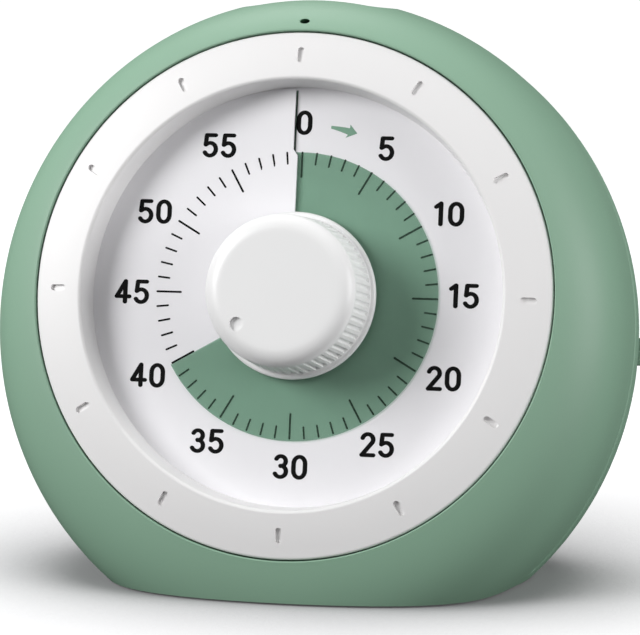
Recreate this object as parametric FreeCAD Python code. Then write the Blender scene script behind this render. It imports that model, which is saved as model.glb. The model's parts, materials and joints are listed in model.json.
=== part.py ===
import FreeCAD, Part
import math
import os

# Visual countdown timer, 60 minutes, free-standing, one AA cell.
#
# The pieces are drawn in the dial's own frame, in millimetres: X to the viewer's right,
# Y up along the dial, Z straight out of the dial, zero on the dial's printed face.
# stand_up() then leans the dial back and stands the timer on its base.
# Clock angles are degrees clockwise from the dial's 0 as the viewer sees it.

V = FreeCAD.Vector
X_AXIS = V(1, 0, 0)
Z_AXIS = V(0, 0, 1)

# Stance
lean_back = 12.0            # the dial's tilt from upright
dial_height = 42.3          # dial centre above the table

# Case: a rounded pebble, split at a parting line behind the dial
case_half_width = 46.0
case_half_height = 47.6
case_drop = 3.5             # the case's centre below the dial's centre
case_wall = 2.0
base_wall = 2.4
seam_depth = 17.5           # parting line behind the dial face
front_bulge = 23.8          # parting line to the crown of the front shell
front_fullness = 3.84       # exponent of the front's rounded profile
rear_bulge = 28.0
rear_fullness = 2.9
back_flat = 12.0            # radius of the flat at the middle of the back
seam_reveal = 0.35          # width and depth of the shadow line at the seam
seam_reveal_depth = 0.6
tongue_height = 1.8         # rear shell's lip inside the front shell
tongue_wall = 0.8
fit_gap = 0.1               # clearance between moulded pieces that plug together

# Scoop across the top, where a finger rests
scoop_half_width = 11.3
scoop_depth = 0.5
scoop_front = -2.6
scoop_back = -30.0

# Sound hole in the front shell above the ring
sound_hole_half_width = 0.74
sound_hole_half_height = 0.4
sound_hole_rise = 1.5       # above the edge round the ring
sound_hole_length = 12.0

# White ring
ring_width = 5.7            # from the dial's rim to the ring's
ring_gap = 0.2              # shadow gap between ring and front shell
ring_edge_out = 3.3         # ring's outer edge in front of the dial
ring_face_out = 4.6         # front of the ring's inner edge
ring_camber = 0.1           # the face's rise over a straight slope
ring_cover = 1.7            # how far the ring covers the dial's rim
ring_draft = 0.5            # the inner wall opens outwards by this much
ring_edge_round = 0.45
ring_lip_round = 0.5        # rounding at the front of the inner wall
ring_seat_depth = 1.0       # ring's back face behind the dial face
channel_width = 2.8         # hollow moulded in the ring's back
channel_wall = 1.7          # ring's outer wall beside the hollow
channel_top = 1.9
ring_boss_wall = 0.9        # plastic round a pilot hole in the hollow
slot_count = 12
slot_inset = 3.3            # a slot's centre inside the ring's rim
slot_length = 2.3
slot_width = 0.9
slot_depth = 0.55

# Dial plate
dial_radius = 31.4
dial_thickness = 0.6
dial_hole = 6.3
dial_seat_gap = 0.25
ledge_width = 3.9           # front shell's ledge under dial and ring
ledge_thickness = 1.5
lip_rise = 0.6              # how far the dial lifts at the slit
lip_start = 8.0             # where the lift begins, left of the slit
lip_edge_outer = 1.26       # lip edge left of 0, outside the film
lip_edge_inner = 0.6        # lip edge left of 0, over the film
lip_thickness = 0.4
slit_edge = 1.0             # edge of the lower side of the slit, left of 0
slit_rim = 2.1              # dial left whole outside the slit

# Coloured film
film_radius = 20.45
film_thickness = 0.15
film_lift = 0.1             # above the dial face
film_hang = 0.35            # below the dial's back
film_rest_angle = 240.0     # 40 minutes on the dial
film_split = 0.3            # gap between the two modelled halves of the film
film_tail_start = -25.0     # clock angle at which the hidden part leaves the slit
film_lip_gap = 0.4          # the lip's step stands this much outside the film

# Knob
knob_face_out = 11.5
knob_face_radius = 8.2
knob_shoulder_radius = 10.7
knob_shoulder_drop = 2.1
knob_foot_radius = 11.1
knob_foot_out = 2.0
flange_radius = 11.85
flange_out = 0.95
flange_thickness = 1.0
flange_round = 0.45
groove_count = 58
groove_radius = 0.35
groove_top_rise = 0.16      # a groove's centre outside the wall at its top
groove_foot_rise = 0.02     # and at its foot, where it is deeper
groove_top = 8.3
groove_foot = 2.1
dimple_radius = 0.97
dimple_depth = 0.6
dimple_centre = 7.5
dimple_angle = 229.0
knob_hollow_radius = 8.6
knob_hollow_top = 9.4
knob_hollow_corner = 1.5    # slope between the hollow's roof and its wall
knob_hollow_draft = 1.0
knob_boss_radius = 3.4
knob_boss_recess = 0.3

# Spindle, collar and slip clutch
spindle_radius = 1.5
spindle_top = 9.0
spindle_pivot_radius = 1.0
spindle_end_gap = 0.3
running_gap = 0.05          # radial clearance of a shaft in its hole
collar_radius = 5.6
collar_clip = 0.25          # the clip's edge over the film
collar_clip_thickness = 0.35
collar_back = 0.6           # hub behind the film's tail
collar_film_gap = 0.05
shoulder_radius = 3.0
shoulder_thickness = 0.6
clutch_radius = 4.6
clutch_arms = 3
clutch_arm_width = 1.6
clutch_thickness = 0.3
clutch_rise = 0.35
clutch_hub_wall = 0.9
clutch_gap = 0.06

# Movement
movement_half = 22.0
movement_front = -4.0
movement_split = -9.9
movement_back = -17.0
movement_wall = 1.2
movement_corner = 4.0
bearing_boss_radius = 3.2
bearing_boss_height = 0.5
arbor_radius = 0.5
pivot_radius = 0.3
pivot_end_gap = 0.15
pivot_share = 0.7           # a pivot's reach into a plate, of the plate's thickness
bearing_floor = 0.2         # plastic left at the blind end of a pivot hole
ear_post_clear = 2.0        # plastic between a post's pilot hole and the ledge

# Wheel train, from the rotor to the timer wheel
gear_module = 0.25
timer_teeth = 72
third_pinion_teeth = 9
third_teeth = 60
second_pinion_teeth = 8
second_teeth = 50
middle_pinion_teeth = 10
middle_teeth = 48
rotor_pinion_teeth = 8
tooth_share = 0.36          # tooth width at the pitch circle, of one pitch
tip_share = 0.17
addendum = 0.75
dedendum = 1.3
wheel_thickness = 0.7
root_flare = 0.04           # extra tooth width at the root, of one pitch
pinion_length = 1.7
pinion_overlap = 0.4        # a pinion reaches this far past the wheel it drives
timer_wheel_back = -8.0
third_wheel_back = -9.8
second_wheel_back = -11.5
middle_wheel_back = -13.2
third_bearing = 150.0       # directions between arbors, degrees from +X
second_bearing = 75.0
middle_bearing = -15.0
rotor_bearing = -30.0

# Step motor
magnet_radius = 2.6
magnet_front = -9.2
magnet_back = -11.8
stator_back = -10.9
stator_thickness = 0.8
stator_hole = 3.3
stator_ring = 5.0
coil_x = 16.4
coil_low = -8.2
coil_high = 8.8
coil_radius = 3.1
core_radius = 1.2
coil_depth = -11.6
coil_cheek = 0.6
coil_cheek_rim = 0.4
stator_leg = 3.0
stator_end = 1.4            # lamination beyond the coil's core
riser_left = 1.2
riser_right = 3.0
faller_width = 2.8

# Circuit board
board_low = (-19.6, -19.6)
board_high = (-1.0, -10.4)
board_back = -13.4
board_thickness = 0.8
crystal_radius = 1.0
crystal_length = 6.0
chip_radius = 2.2
chip_height = 1.0
crystal_inset = 3.0
crystal_gap = 0.02
board_post_inset = 1.5
board_post_radius = 1.0

# Sounder
sounder_radius = 6.0
sounder_height = 6.4
sounder_below_top = 17.0    # its centre, down from the top of the case
sounder_port = 1.2
sounder_port_depth = 1.0
sounder_gap = 0.3

# Battery
cell_radius = 7.25
cell_length = 49.5
cell_nub_radius = 2.75
cell_nub_length = 1.0
cell_height = -8.0          # up the dial from its centre
cell_depth = -30.6
bay_side_gap = 0.5
bay_end_gap = 2.6
bay_wall = 1.2
bay_floor_gap = 0.25
contact_thickness = 0.3
contact_width = 9.0
spring_radius = 3.4
spring_wire = 0.35
spring_turns = 3
spring_end_gap = 0.02
cell_round = 0.6
bay_corner = 1.0
bay_inner_corner = 0.5
nose_radius = 2.0

# Battery door
door_half_width = 28.5
door_half_height = 9.9
door_corner = 3.0
door_gap = 0.3
door_seat_width = 1.6
door_seat_thickness = 1.2
door_rim = 2.0              # thickened wall round the door's hole
door_opening_depth = 3.4    # the door's opening ends this far behind the cell's axis
notch_radius = 4.0
notch_depth = 1.0
notch_inset = 1.5
cell_rib = 1.2
cell_rib_half = 6.0
cell_rib_gap = 0.3

# Screws
screw_ring = 38.4           # radius of the four case bosses about the case centre
case_boss_radius = 3.0
rear_post_radius = 3.6
screw_shank = 1.0
screw_core = 0.85           # a thread's core and its pilot hole, of the shank's radius
screw_cross_share = 0.6     # the drive's reach, of the head's radius
screw_cross_half = 0.2
screw_cross_depth = 0.5
boss_root = 0.5             # how far a boss runs into the ledge
screw_head_radius = 2.0
screw_head_height = 1.4
screw_hole_gap = 0.2
counterbore_radius = 2.5
screw_floor = 4.0           # plastic under a screw head
screw_bite = 8.0
ring_screw_angles = (90.0, 210.0, 330.0)
ring_screw_shank = 0.75
ring_screw_head = 1.6
ring_screw_head_height = 1.0
ring_screw_tip_gap = 0.3
movement_screw_length = 9.0
movement_post_radius = 2.2
movement_screw_offset = 26.2
movement_screw_spread = 8.0
ear_thickness = 1.4
ear_step = 3.0              # front face of the ears, in front of the movement's back

# Side switch
switch_height = -4.7        # up the dial from its centre
switch_depth = -24.7
switch_slot_half = 3.3
switch_slot_half_depth = 1.35
slider_half = 1.95
slider_half_depth = 1.05
slider_proud = 0.5
slider_flange_half = 4.6
slider_flange_half_depth = 2.2
slider_flange_thickness = 1.2
slider_wall_gap = 1.35
slider_travel = 1.0
slider_ridge_step = 1.1
slider_ridge_radius = 0.25
slider_root = 0.5
switch_body_depth = 5.0
switch_body_half = 4.5
switch_body_half_depth = 2.2
switch_body_gap = 0.4
lever_half = 0.6
lever_gap = 0.3
lever_share = 0.4           # the lever's reach into the body, of its depth
lever_slot_share = 0.5

# Feet
foot_radius = 4.0
foot_thickness = 1.0
foot_proud = 0.3
foot_gap = 0.1
scoop_corner = 4.0
foot_places = ((17.0, 2.0), (-17.0, 2.0), (15.0, 27.0), (-15.0, 27.0))

# Sizes that follow from the ones above
case_narrowing = 1.0 - case_half_width / case_half_height
ring_radius = dial_radius + ring_width
ring_opening = dial_radius - ring_cover
ring_inner = ring_opening + ring_draft + ring_lip_round
ring_outer = ring_radius - ring_edge_round
slot_centre = ring_radius - slot_inset
channel_outer = ring_radius - channel_wall
channel_inner = channel_outer - channel_width
channel_middle = (channel_inner + channel_outer) / 2
ledge_inner = dial_radius - ledge_width
slit_reach = dial_radius - slit_rim
well_radius = ring_radius + ring_gap
bay_floor = cell_depth + cell_radius + bay_floor_gap + bay_wall
bay_half_length = (cell_length + cell_nub_length) / 2 + bay_end_gap
cell_left = -(cell_length + cell_nub_length) / 2
ear_front = movement_back + ear_step
feet_low = -dial_height
base_height = feet_low + foot_proud     # the shells' flat base, from the dial centre
front_plate = movement_front - movement_wall    # inner faces of the movement's two plates
back_plate = movement_back + movement_wall
tail_low = -dial_thickness - film_hang - film_thickness
slice_count = 10
outline_points = 36
far = 80.0                  # beyond the whole timer
past = 1.0                  # how far a cutting shape runs past what it cuts


def clock(radius, angle):
    """A point on the dial at a clock angle."""
    turn = math.radians(angle)
    return radius * math.sin(turn), radius * math.cos(turn)


def rod(radius, low, high, x=0.0, y=0.0):
    """A round bar along Z."""
    return Part.makeCylinder(radius, high - low, V(x, y, low), Z_AXIS)


def tube(outer, inner, low, high, x=0.0, y=0.0):
    """A bush along Z."""
    return rod(outer, low, high, x, y).cut(rod(inner, low - 1, high + 1, x, y))


def block(low, high):
    """A box between two corners."""
    size = [high[i] - low[i] for i in range(3)]
    return Part.makeBox(size[0], size[1], size[2], V(*low))


def turned(points):
    """A solid turned about Z from a closed outline of (radius, height) points."""
    corners = [V(r, 0, z) for r, z in points]
    face = Part.Face(Part.makePolygon(corners + corners[:1]))
    return face.revolve(V(0, 0, 0), Z_AXIS, 360)


def arc_points(centre, radius, start, end, steps):
    """Points along an arc in the (radius, height) plane, angles in degrees."""
    points = []
    for i in range(steps + 1):
        turn = math.radians(start + (end - start) * i / steps)
        points.append((centre[0] + radius * math.cos(turn), centre[1] + radius * math.sin(turn)))
    return points


def plate(points, low, high):
    """A flat plate with a polygon outline."""
    corners = [V(x, y, low) for x, y in points]
    face = Part.Face(Part.makePolygon(corners + corners[:1]))
    return face.extrude(V(0, 0, high - low))


def rounded_plate(half_x, half_y, corner, low, high, x=0.0, y=0.0):
    """A rectangular plate with rounded corners."""
    body = block((x - half_x, y - half_y, low), (x + half_x, y + half_y, high))
    uprights = [e for e in body.Edges if abs(e.tangentAt(e.FirstParameter).z) > 0.99]
    return body.makeFillet(corner, uprights)


def joined(shapes):
    """One solid from touching shapes."""
    result = shapes[0]
    for shape in shapes[1:]:
        result = result.fuse(shape)
    return result.removeSplitter()


def stand_up(shape):
    """Lean a piece back from the dial's frame into the upright one."""
    placed = shape.copy()
    placed.rotate(V(0, 0, 0), X_AXIS, 90 - lean_back)
    return placed


def upright_block(low, high):
    """A box in the upright frame, drawn in the dial's frame."""
    body = block(low, high)
    body.rotate(V(0, 0, 0), X_AXIS, lean_back - 90)
    return body


# The case's outer form

def case_radius(z, inset=0.0):
    """Half the height of the case at depth z, for a surface inset from the outside."""
    half = case_half_height - inset
    if z >= -seam_depth:
        bulge, fullness = front_bulge - inset, front_fullness
        share = (z + seam_depth) / bulge
    else:
        bulge, fullness = rear_bulge - inset, rear_fullness
        share = (-seam_depth - z) / bulge
    return half * (1 - min(share, 1.0) ** fullness) ** (1 / fullness)


def case_section(z, inset=0.0):
    """Closed outline of the case at depth z. It is round and centred on the dial
    at the ring, and an ellipse set lower at the parting line."""
    round_radius = case_radius(ring_edge_out)
    away = 1.0
    if z > -seam_depth:
        away = (case_radius(z) - round_radius) / (case_half_height - round_radius)
    half_y = case_radius(z, inset)
    half_x = half_y * (1 - case_narrowing * away)
    points = []
    for i in range(outline_points):
        turn = 2 * math.pi * i / outline_points
        points.append(V(half_x * math.cos(turn), half_y * math.sin(turn) - case_drop * away, z))
    curve = Part.BSplineCurve()
    curve.interpolate(Points=points, PeriodicFlag=True)
    return Part.Wire([curve.toShape()])


def case_solid(depths, inset=0.0):
    """The case's form between the first and last depth."""
    return Part.makeLoft([case_section(z, inset) for z in depths], True, False)


def front_depths(end, inset=0.0):
    """Depths from the parting line forward, closer together where the case turns in."""
    bulge = front_bulge - inset
    last = math.asin(((end + seam_depth) / bulge) ** (front_fullness / 2))
    turns = [last * i / slice_count for i in range(slice_count + 1)]
    return [-seam_depth + bulge * math.sin(t) ** (2 / front_fullness) for t in turns]


def rear_depths(inset=0.0):
    """Depths from the parting line to the flat of the back."""
    bulge = rear_bulge - inset
    flat = back_flat / (case_half_height - inset)
    last = math.acos(flat ** (rear_fullness / 2))
    turns = [last * i / slice_count for i in range(slice_count + 1)]
    return [-seam_depth - bulge * math.sin(t) ** (2 / rear_fullness) for t in turns]


def screw_places():
    """The four case screws, about the case centre."""
    places = []
    for turn in (45, 135, 225, 315):
        x = screw_ring * math.cos(math.radians(turn))
        y = screw_ring * math.sin(math.radians(turn)) - case_drop
        places.append((x, y))
    return places


def movement_posts():
    """The four posts beside the movement that carry it."""
    return [(sx * movement_screw_offset, sy * movement_screw_spread)
            for sx in (-1, 1) for sy in (-1, 1)]


front_outer = case_solid(front_depths(ring_edge_out))
rear_outer = case_solid(rear_depths())
above_base = upright_block((-far, -far, base_height), (far, far, far))
above_floor = upright_block((-far, -far, base_height + base_wall), (far, far, far))


def foot_pocket(place, radius, low, high):
    """A round pocket or foot in the base, drawn in the upright frame."""
    body = rod(radius, low, high, place[0], place[1])
    body.rotate(V(0, 0, 0), X_AXIS, lean_back - 90)
    return body


def foot_pockets():
    """Pockets for all the feet."""
    top = feet_low + foot_thickness + foot_gap
    return [foot_pocket(p, foot_radius + foot_gap, feet_low - past, top) for p in foot_places]


def scoop_tool(outer, inner):
    """The finger scoop: a layer of the case's skin across the top."""
    band = block((-scoop_half_width, case_half_height / 2, scoop_back),
                 (scoop_half_width, far, scoop_front))
    corners = [e for e in band.Edges if abs(e.tangentAt(e.FirstParameter).y) > 0.99]
    band = band.makeFillet(scoop_corner, corners)
    return outer.cut(inner).common(band)


# Casing

def front_shell():
    ledge_back = -ring_seat_depth - ledge_thickness
    cavity = case_solid([-seam_depth - 0.5] + front_depths(ledge_back, case_wall)[1:], case_wall)
    groove = case_solid([-seam_depth, -seam_depth + tongue_height + fit_gap],
                        case_wall - tongue_wall - 2 * fit_gap)
    shell = front_outer.common(above_base)
    shell = shell.cut(cavity.common(above_floor))
    shell = shell.cut(groove.common(above_floor))
    seat = dial_radius + dial_seat_gap
    shell = shell.cut(tube(well_radius, seat, -ring_seat_depth, ring_edge_out + past))
    shell = shell.cut(rod(seat + 0.01, -dial_thickness, ring_edge_out + past))
    shell = shell.cut(rod(ledge_inner, ledge_back - past, 0))
    boss_top = ledge_back + boss_root
    bosses = [rod(case_boss_radius, -seam_depth, boss_top, x, y) for x, y in screw_places()]
    posts = [rod(movement_post_radius, ear_front, boss_top, x, y) for x, y in movement_posts()]
    for post in bosses + posts:
        shell = shell.fuse(post.common(front_outer))
    for x, y in screw_places():
        pilot_end = -seam_depth + screw_bite + past
        shell = shell.cut(rod(screw_shank * screw_core, -seam_depth - past, pilot_end, x, y))
    for x, y in movement_posts():
        shell = shell.cut(rod(ring_screw_shank * screw_core, ear_front - past,
                              ledge_back - ear_post_clear, x, y))
    for angle in ring_screw_angles:
        x, y = clock(channel_middle, angle)
        shell = shell.cut(rod(ring_screw_shank + screw_hole_gap, ledge_back - past, 0, x, y))
    start = V(0, well_radius + sound_hole_rise, ring_edge_out - sound_hole_length)
    oval = Part.Ellipse(start, sound_hole_half_width, sound_hole_half_height).toShape()
    hole = Part.Face(Part.Wire([oval])).extrude(V(0, 0, sound_hole_length + past))
    shell = shell.cut(hole)
    inner = case_solid(front_depths(ring_edge_out - scoop_depth, scoop_depth), scoop_depth)
    shell = shell.cut(scoop_tool(front_outer, inner))
    for pocket in foot_pockets():
        shell = shell.cut(pocket)
    return shell.removeSplitter()


def door_prism(shrink, low=-far, high=-seam_depth - past):
    """The battery door's outline as a bar through the back."""
    return rounded_plate(door_half_width - shrink, door_half_height - shrink,
                         door_corner - shrink, low, high, 0.0, cell_height)


def rear_skin(outer_inset, inner_inset):
    """A layer of the rear shell between two insets."""
    outer = case_solid(rear_depths(outer_inset), outer_inset)
    inner = case_solid([-seam_depth + 1] + rear_depths(inner_inset)[1:], inner_inset)
    return outer.cut(inner)


def rear_shell():
    cavity = case_solid([-seam_depth + 0.5] + rear_depths(case_wall)[1:], case_wall)
    shell = rear_outer.common(above_base)
    shell = shell.cut(cavity.common(above_floor))
    reveal_outer = case_solid([-seam_depth - seam_reveal, -seam_depth], -1.0)
    reveal_inner = case_solid([-seam_depth - seam_reveal - 1, -seam_depth + 1], seam_reveal_depth)
    shell = shell.cut(reveal_outer.cut(reveal_inner).common(above_floor))
    tongue_outer = case_solid([-seam_depth - 1, -seam_depth + tongue_height], case_wall - tongue_wall)
    tongue_inner = case_solid([-seam_depth - 2, -seam_depth + tongue_height + 1], case_wall)
    clear_of_base = upright_block((-far, -far, base_height + base_wall + fit_gap), (far, far, far))
    shell = shell.fuse(tongue_outer.cut(tongue_inner).common(clear_of_base))
    bay_half = cell_radius + bay_side_gap
    bay = rounded_plate(bay_half_length + bay_wall, bay_half + bay_wall, bay_corner, -far, bay_floor,
                        0, cell_height)
    bay = bay.common(rear_outer)
    shell = shell.fuse(bay)
    posts = [rod(rear_post_radius, -far, -seam_depth, x, y).common(rear_outer)
             for x, y in screw_places()]
    for post in posts:
        shell = shell.fuse(post)
    seat = rear_skin(case_wall / 2, case_wall + door_gap + door_seat_thickness)
    shell = shell.fuse(seat.common(door_prism(-door_rim)).common(rear_outer))
    shell = shell.cut(door_prism(door_seat_width, -far, cell_depth - door_opening_depth))
    shell = shell.cut(rounded_plate(bay_half_length, bay_half, bay_inner_corner, -far,
                                    bay_floor - bay_wall, 0, cell_height))
    door_hole = rear_skin(-1.0, case_wall + door_gap).common(door_prism(-door_gap))
    shell = shell.cut(door_hole)
    for x, y in screw_places():
        shell = shell.cut(rod(screw_shank + screw_hole_gap, -far, 0, x, y))
        shell = shell.cut(rod(counterbore_radius, -far, -seam_depth - screw_floor, x, y))
    slot = block((case_half_width / 2, switch_height - switch_slot_half,
                  switch_depth - switch_slot_half_depth),
                 (far, switch_height + switch_slot_half, switch_depth + switch_slot_half_depth))
    shell = shell.cut(slot)
    inner = case_solid(rear_depths(scoop_depth), scoop_depth)
    shell = shell.cut(scoop_tool(rear_outer, inner))
    for pocket in foot_pockets():
        shell = shell.cut(pocket)
    return shell.removeSplitter()


def bezel_ring():
    tangent = 90.0 - ring_slope()
    points = [(ring_opening, 0.0)]
    points += arc_points((ring_inner, ring_face_out - ring_lip_round), ring_lip_round, 180, tangent, 6)
    for share in (0.25, 0.5, 0.75):
        radius = ring_inner + (ring_outer - ring_inner) * share
        points.append((radius, ring_face(radius)))
    points += arc_points((ring_outer, ring_edge_out - ring_edge_round), ring_edge_round, tangent, 0, 5)
    points += [(ring_radius, -ring_seat_depth)]
    points += [(channel_outer, -ring_seat_depth), (channel_outer, channel_top)]
    points += [(channel_inner, channel_top), (channel_inner, -ring_seat_depth)]
    points += [(dial_radius + dial_seat_gap, -ring_seat_depth), (dial_radius + dial_seat_gap, 0.0)]
    ring = turned(points)
    for angle in ring_screw_angles:
        x, y = clock(channel_middle, angle)
        boss = rod(ring_screw_shank + ring_boss_wall, -ring_seat_depth,
                   channel_top + ring_screw_tip_gap, x, y)
        pilot = rod(ring_screw_shank * screw_core, -ring_seat_depth - past, channel_top, x, y)
        ring = ring.fuse(boss.cut(pilot))
    cuts = []
    for i in range(slot_count):
        cuts.append(slot_tool(i * 360.0 / slot_count))
    return ring.cut(Part.makeCompound(cuts)).removeSplitter()


def ring_slope():
    """Fall of the ring's face towards its rim, in degrees."""
    return math.degrees(math.atan2(ring_face_out - ring_edge_out, ring_outer - ring_inner))


def ring_face(radius):
    """Front of the ring's face: a shallow cone with a little camber."""
    share = (radius - ring_inner) / (ring_outer - ring_inner)
    straight = ring_face_out - (ring_face_out - ring_edge_out) * share
    return straight + ring_camber * 4 * share * (1 - share)


def slot_tool(angle):
    """A recessed marker slot with round ends, square to the ring's face."""
    face = ring_face(slot_centre)
    floor = face - slot_depth
    half = (slot_length - slot_width) / 2
    top = face + past
    bar = block((-slot_width / 2, slot_centre - half, floor), (slot_width / 2, slot_centre + half, top))
    tool = joined([bar, rod(slot_width / 2, floor, top, 0, slot_centre - half),
                   rod(slot_width / 2, floor, top, 0, slot_centre + half)])
    tool.rotate(V(0, slot_centre, face), X_AXIS, -ring_slope())
    tool.rotate(V(0, 0, 0), Z_AXIS, -angle)
    return tool


def dial_plate():
    disc = rod(dial_radius, -dial_thickness, 0)
    low, high = -dial_thickness - past, lip_rise + past
    reach = rod(slit_reach, low, high)
    gap = block((-lip_start, 0, low), (-slit_edge, slit_reach, high)).common(reach)
    disc = disc.cut(gap)
    profile = [(-lip_start, -dial_thickness), (-lip_start, 0.0), (-lip_edge_inner, lip_rise),
               (-lip_edge_inner, lip_rise - lip_thickness)]
    corners = [V(x, 0, z) for x, z in profile]
    face = Part.Face(Part.makePolygon(corners + corners[:1]))
    lip = face.extrude(V(0, slit_reach, 0)).common(reach)
    step = film_radius + film_lip_gap
    trim = block((-lip_edge_outer, step, low), (past, slit_reach + past, high))
    lip = lip.cut(trim)
    dial = joined([disc, lip])
    return dial.cut(rod(dial_hole, low, high))


# Coloured film, one sheet drawn as two halves that follow one another

def film_sector(start, end, low):
    """A flat sector between two clock angles."""
    disc = tube(film_radius, collar_radius + collar_film_gap, low, low + film_thickness)
    wedge_radius = film_radius * 3
    points = [(0.0, 0.0)]
    steps = 6
    for i in range(steps + 1):
        points.append(clock(wedge_radius, start + (end - start) * i / steps))
    return disc.common(plate(points, low - past, low + past))


def film_front():
    split = math.degrees(film_split / film_radius)
    return film_sector(film_rest_angle / 2 + split, film_rest_angle, film_lift)


def film_middle():
    return film_sector(0.0, film_rest_angle / 2, film_lift)


def film_tail():
    return film_sector(film_rest_angle - 360.0, film_tail_start, tail_low)


# Knob and spindle

def knob():
    flange_top = flange_out + flange_thickness
    boss_low = flange_out + knob_boss_recess
    bore_top = spindle_top + fit_gap
    edge = flange_radius - flange_round
    points = [(spindle_radius, boss_low), (knob_boss_radius, boss_low)]
    points += [(knob_boss_radius, knob_hollow_top)]
    points += [(knob_hollow_radius - knob_hollow_draft, knob_hollow_top)]
    points += [(knob_hollow_radius, knob_hollow_top - knob_hollow_corner)]
    points += [(knob_hollow_radius + knob_hollow_draft, flange_out)]
    points += arc_points((edge, flange_out + flange_round), flange_round, -90, 0, 4)
    points += arc_points((edge, flange_top - flange_round), flange_round, 0, 80, 4)
    points += [(knob_foot_radius, knob_foot_out)]
    shoulder = knob_face_out - knob_shoulder_drop
    points += [(knob_shoulder_radius, shoulder)]
    points += shoulder_points(shoulder)
    points += [(0.0, knob_face_out), (0.0, bore_top), (spindle_radius, bore_top)]
    body = turned(points)
    grooves = [groove_tool(i * 360.0 / groove_count) for i in range(groove_count)]
    x, y = clock(dimple_centre, dimple_angle)
    dimple = rod(dimple_radius, knob_face_out - dimple_depth, knob_face_out + past, x, y)
    return body.cut(Part.makeCompound(grooves + [dimple]))


def shoulder_points(shoulder):
    """The rounded shoulder between the grip and the face."""
    points = []
    width = knob_shoulder_radius - knob_face_radius
    steps = 8
    for i in range(1, steps + 1):
        turn = math.radians(90.0 * i / steps)
        points.append((knob_face_radius + width * math.cos(turn),
                       shoulder + knob_shoulder_drop * math.sin(turn)))
    return points


def groove_tool(angle):
    """A finger groove that follows the grip's taper."""
    foot = V(knob_foot_radius + groove_foot_rise, 0, knob_foot_out)
    top = V(knob_shoulder_radius + groove_top_rise, 0, knob_face_out - knob_shoulder_drop)
    along = top - foot
    along.normalize()
    length = (groove_top - groove_foot) / along.z
    start = foot + along * ((groove_foot - knob_foot_out) / along.z)
    tool = Part.makeCylinder(groove_radius, length, start, along)
    tool.rotate(V(0, 0, 0), Z_AXIS, 90 - angle)
    return tool


def spindle():
    shoulder_back = timer_wheel_back + wheel_thickness + running_gap
    shoulder_front = shoulder_back + shoulder_thickness
    end = movement_back + spindle_end_gap
    step = back_plate + pivot_end_gap
    points = [(0, end), (spindle_pivot_radius, end), (spindle_pivot_radius, step)]
    points += [(spindle_radius, step), (spindle_radius, shoulder_back)]
    points += [(shoulder_radius, shoulder_back), (shoulder_radius, shoulder_front)]
    points += [(spindle_radius, shoulder_front)]
    points += [(spindle_radius, spindle_top), (0, spindle_top)]
    return turned(points)


def film_collar():
    clip_low = film_lift + film_thickness + collar_film_gap
    clip_top = clip_low + collar_clip_thickness
    hub = tube(collar_radius, spindle_radius, tail_low - collar_back, clip_top)
    clip = tube(collar_radius + collar_clip, spindle_radius, clip_low, clip_top)
    return joined([hub, clip])


def clutch_spring():
    """Star washer that presses the timer wheel against the spindle's shoulder."""
    top = timer_wheel_back - clutch_gap
    hub_radius = spindle_radius + clutch_hub_wall
    arm_root = hub_radius - clutch_hub_wall * 0.4
    hub = tube(hub_radius, spindle_radius, top - clutch_thickness - clutch_rise, top - clutch_rise)
    parts = [hub]
    for i in range(clutch_arms):
        profile = [V(arm_root, 0, top - clutch_rise - clutch_thickness),
                   V(arm_root, 0, top - clutch_rise),
                   V(clutch_radius, 0, top),
                   V(clutch_radius, 0, top - clutch_thickness)]
        face = Part.Face(Part.makePolygon(profile + profile[:1]))
        arm = face.extrude(V(0, clutch_arm_width, 0))
        arm.translate(V(0, -clutch_arm_width / 2, 0))
        arm.rotate(V(0, 0, 0), Z_AXIS, i * 360.0 / clutch_arms)
        parts.append(arm)
    return joined(parts)


# Wheel train

def step_from(start, teeth_a, teeth_b, bearing):
    """The next arbor, at meshing distance along a bearing."""
    distance = gear_module * (teeth_a + teeth_b) / 2
    turn = math.radians(bearing)
    return start[0] + distance * math.cos(turn), start[1] + distance * math.sin(turn)


timer_place = (0.0, 0.0)
third_place = step_from(timer_place, timer_teeth, third_pinion_teeth, third_bearing)
second_place = step_from(third_place, third_teeth, second_pinion_teeth, second_bearing)
middle_place = step_from(second_place, second_teeth, middle_pinion_teeth, middle_bearing)
rotor_place = step_from(middle_place, middle_teeth, rotor_pinion_teeth, rotor_bearing)


def mesh_phase(place, teeth, other_place, other_teeth, other_phase):
    """The turn, in degrees, that puts this wheel's teeth in the other wheel's gaps."""
    bearing = math.degrees(math.atan2(place[1] - other_place[1], place[0] - other_place[0]))
    other_share = (bearing - other_phase) * other_teeth / 360.0
    return bearing + 180.0 - (0.5 - other_share) * 360.0 / teeth


def toothed(place, teeth, phase, low, high, bore):
    """A spur wheel with straight-sided teeth."""
    pitch_radius = gear_module * teeth / 2
    root = pitch_radius - dedendum * gear_module
    tip = pitch_radius + addendum * gear_module
    pitch = 2 * math.pi / teeth
    points = []
    for i in range(teeth):
        middle = math.radians(phase) + i * pitch
        half_root = pitch * (tooth_share + root_flare) / 2
        half_tip = pitch * tip_share / 2
        for radius, turn in ((root, -half_root), (pitch_radius, -pitch * tooth_share / 2),
                             (tip, -half_tip), (tip, half_tip),
                             (pitch_radius, pitch * tooth_share / 2), (root, half_root)):
            points.append((place[0] + radius * math.cos(middle + turn),
                           place[1] + radius * math.sin(middle + turn)))
    body = plate(points, low, high)
    if bore > 0:
        body = body.cut(rod(bore, low - past, high + past, place[0], place[1]))
    return body


def arbor(place, low, high):
    """An arbor with a pivot at each end, running in the two plates."""
    pivot_reach = movement_wall * pivot_share
    return joined([
        rod(arbor_radius, low, high, *place),
        rod(pivot_radius, back_plate - pivot_reach, low, *place),
        rod(pivot_radius, high, front_plate + pivot_reach, *place),
    ])


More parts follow.
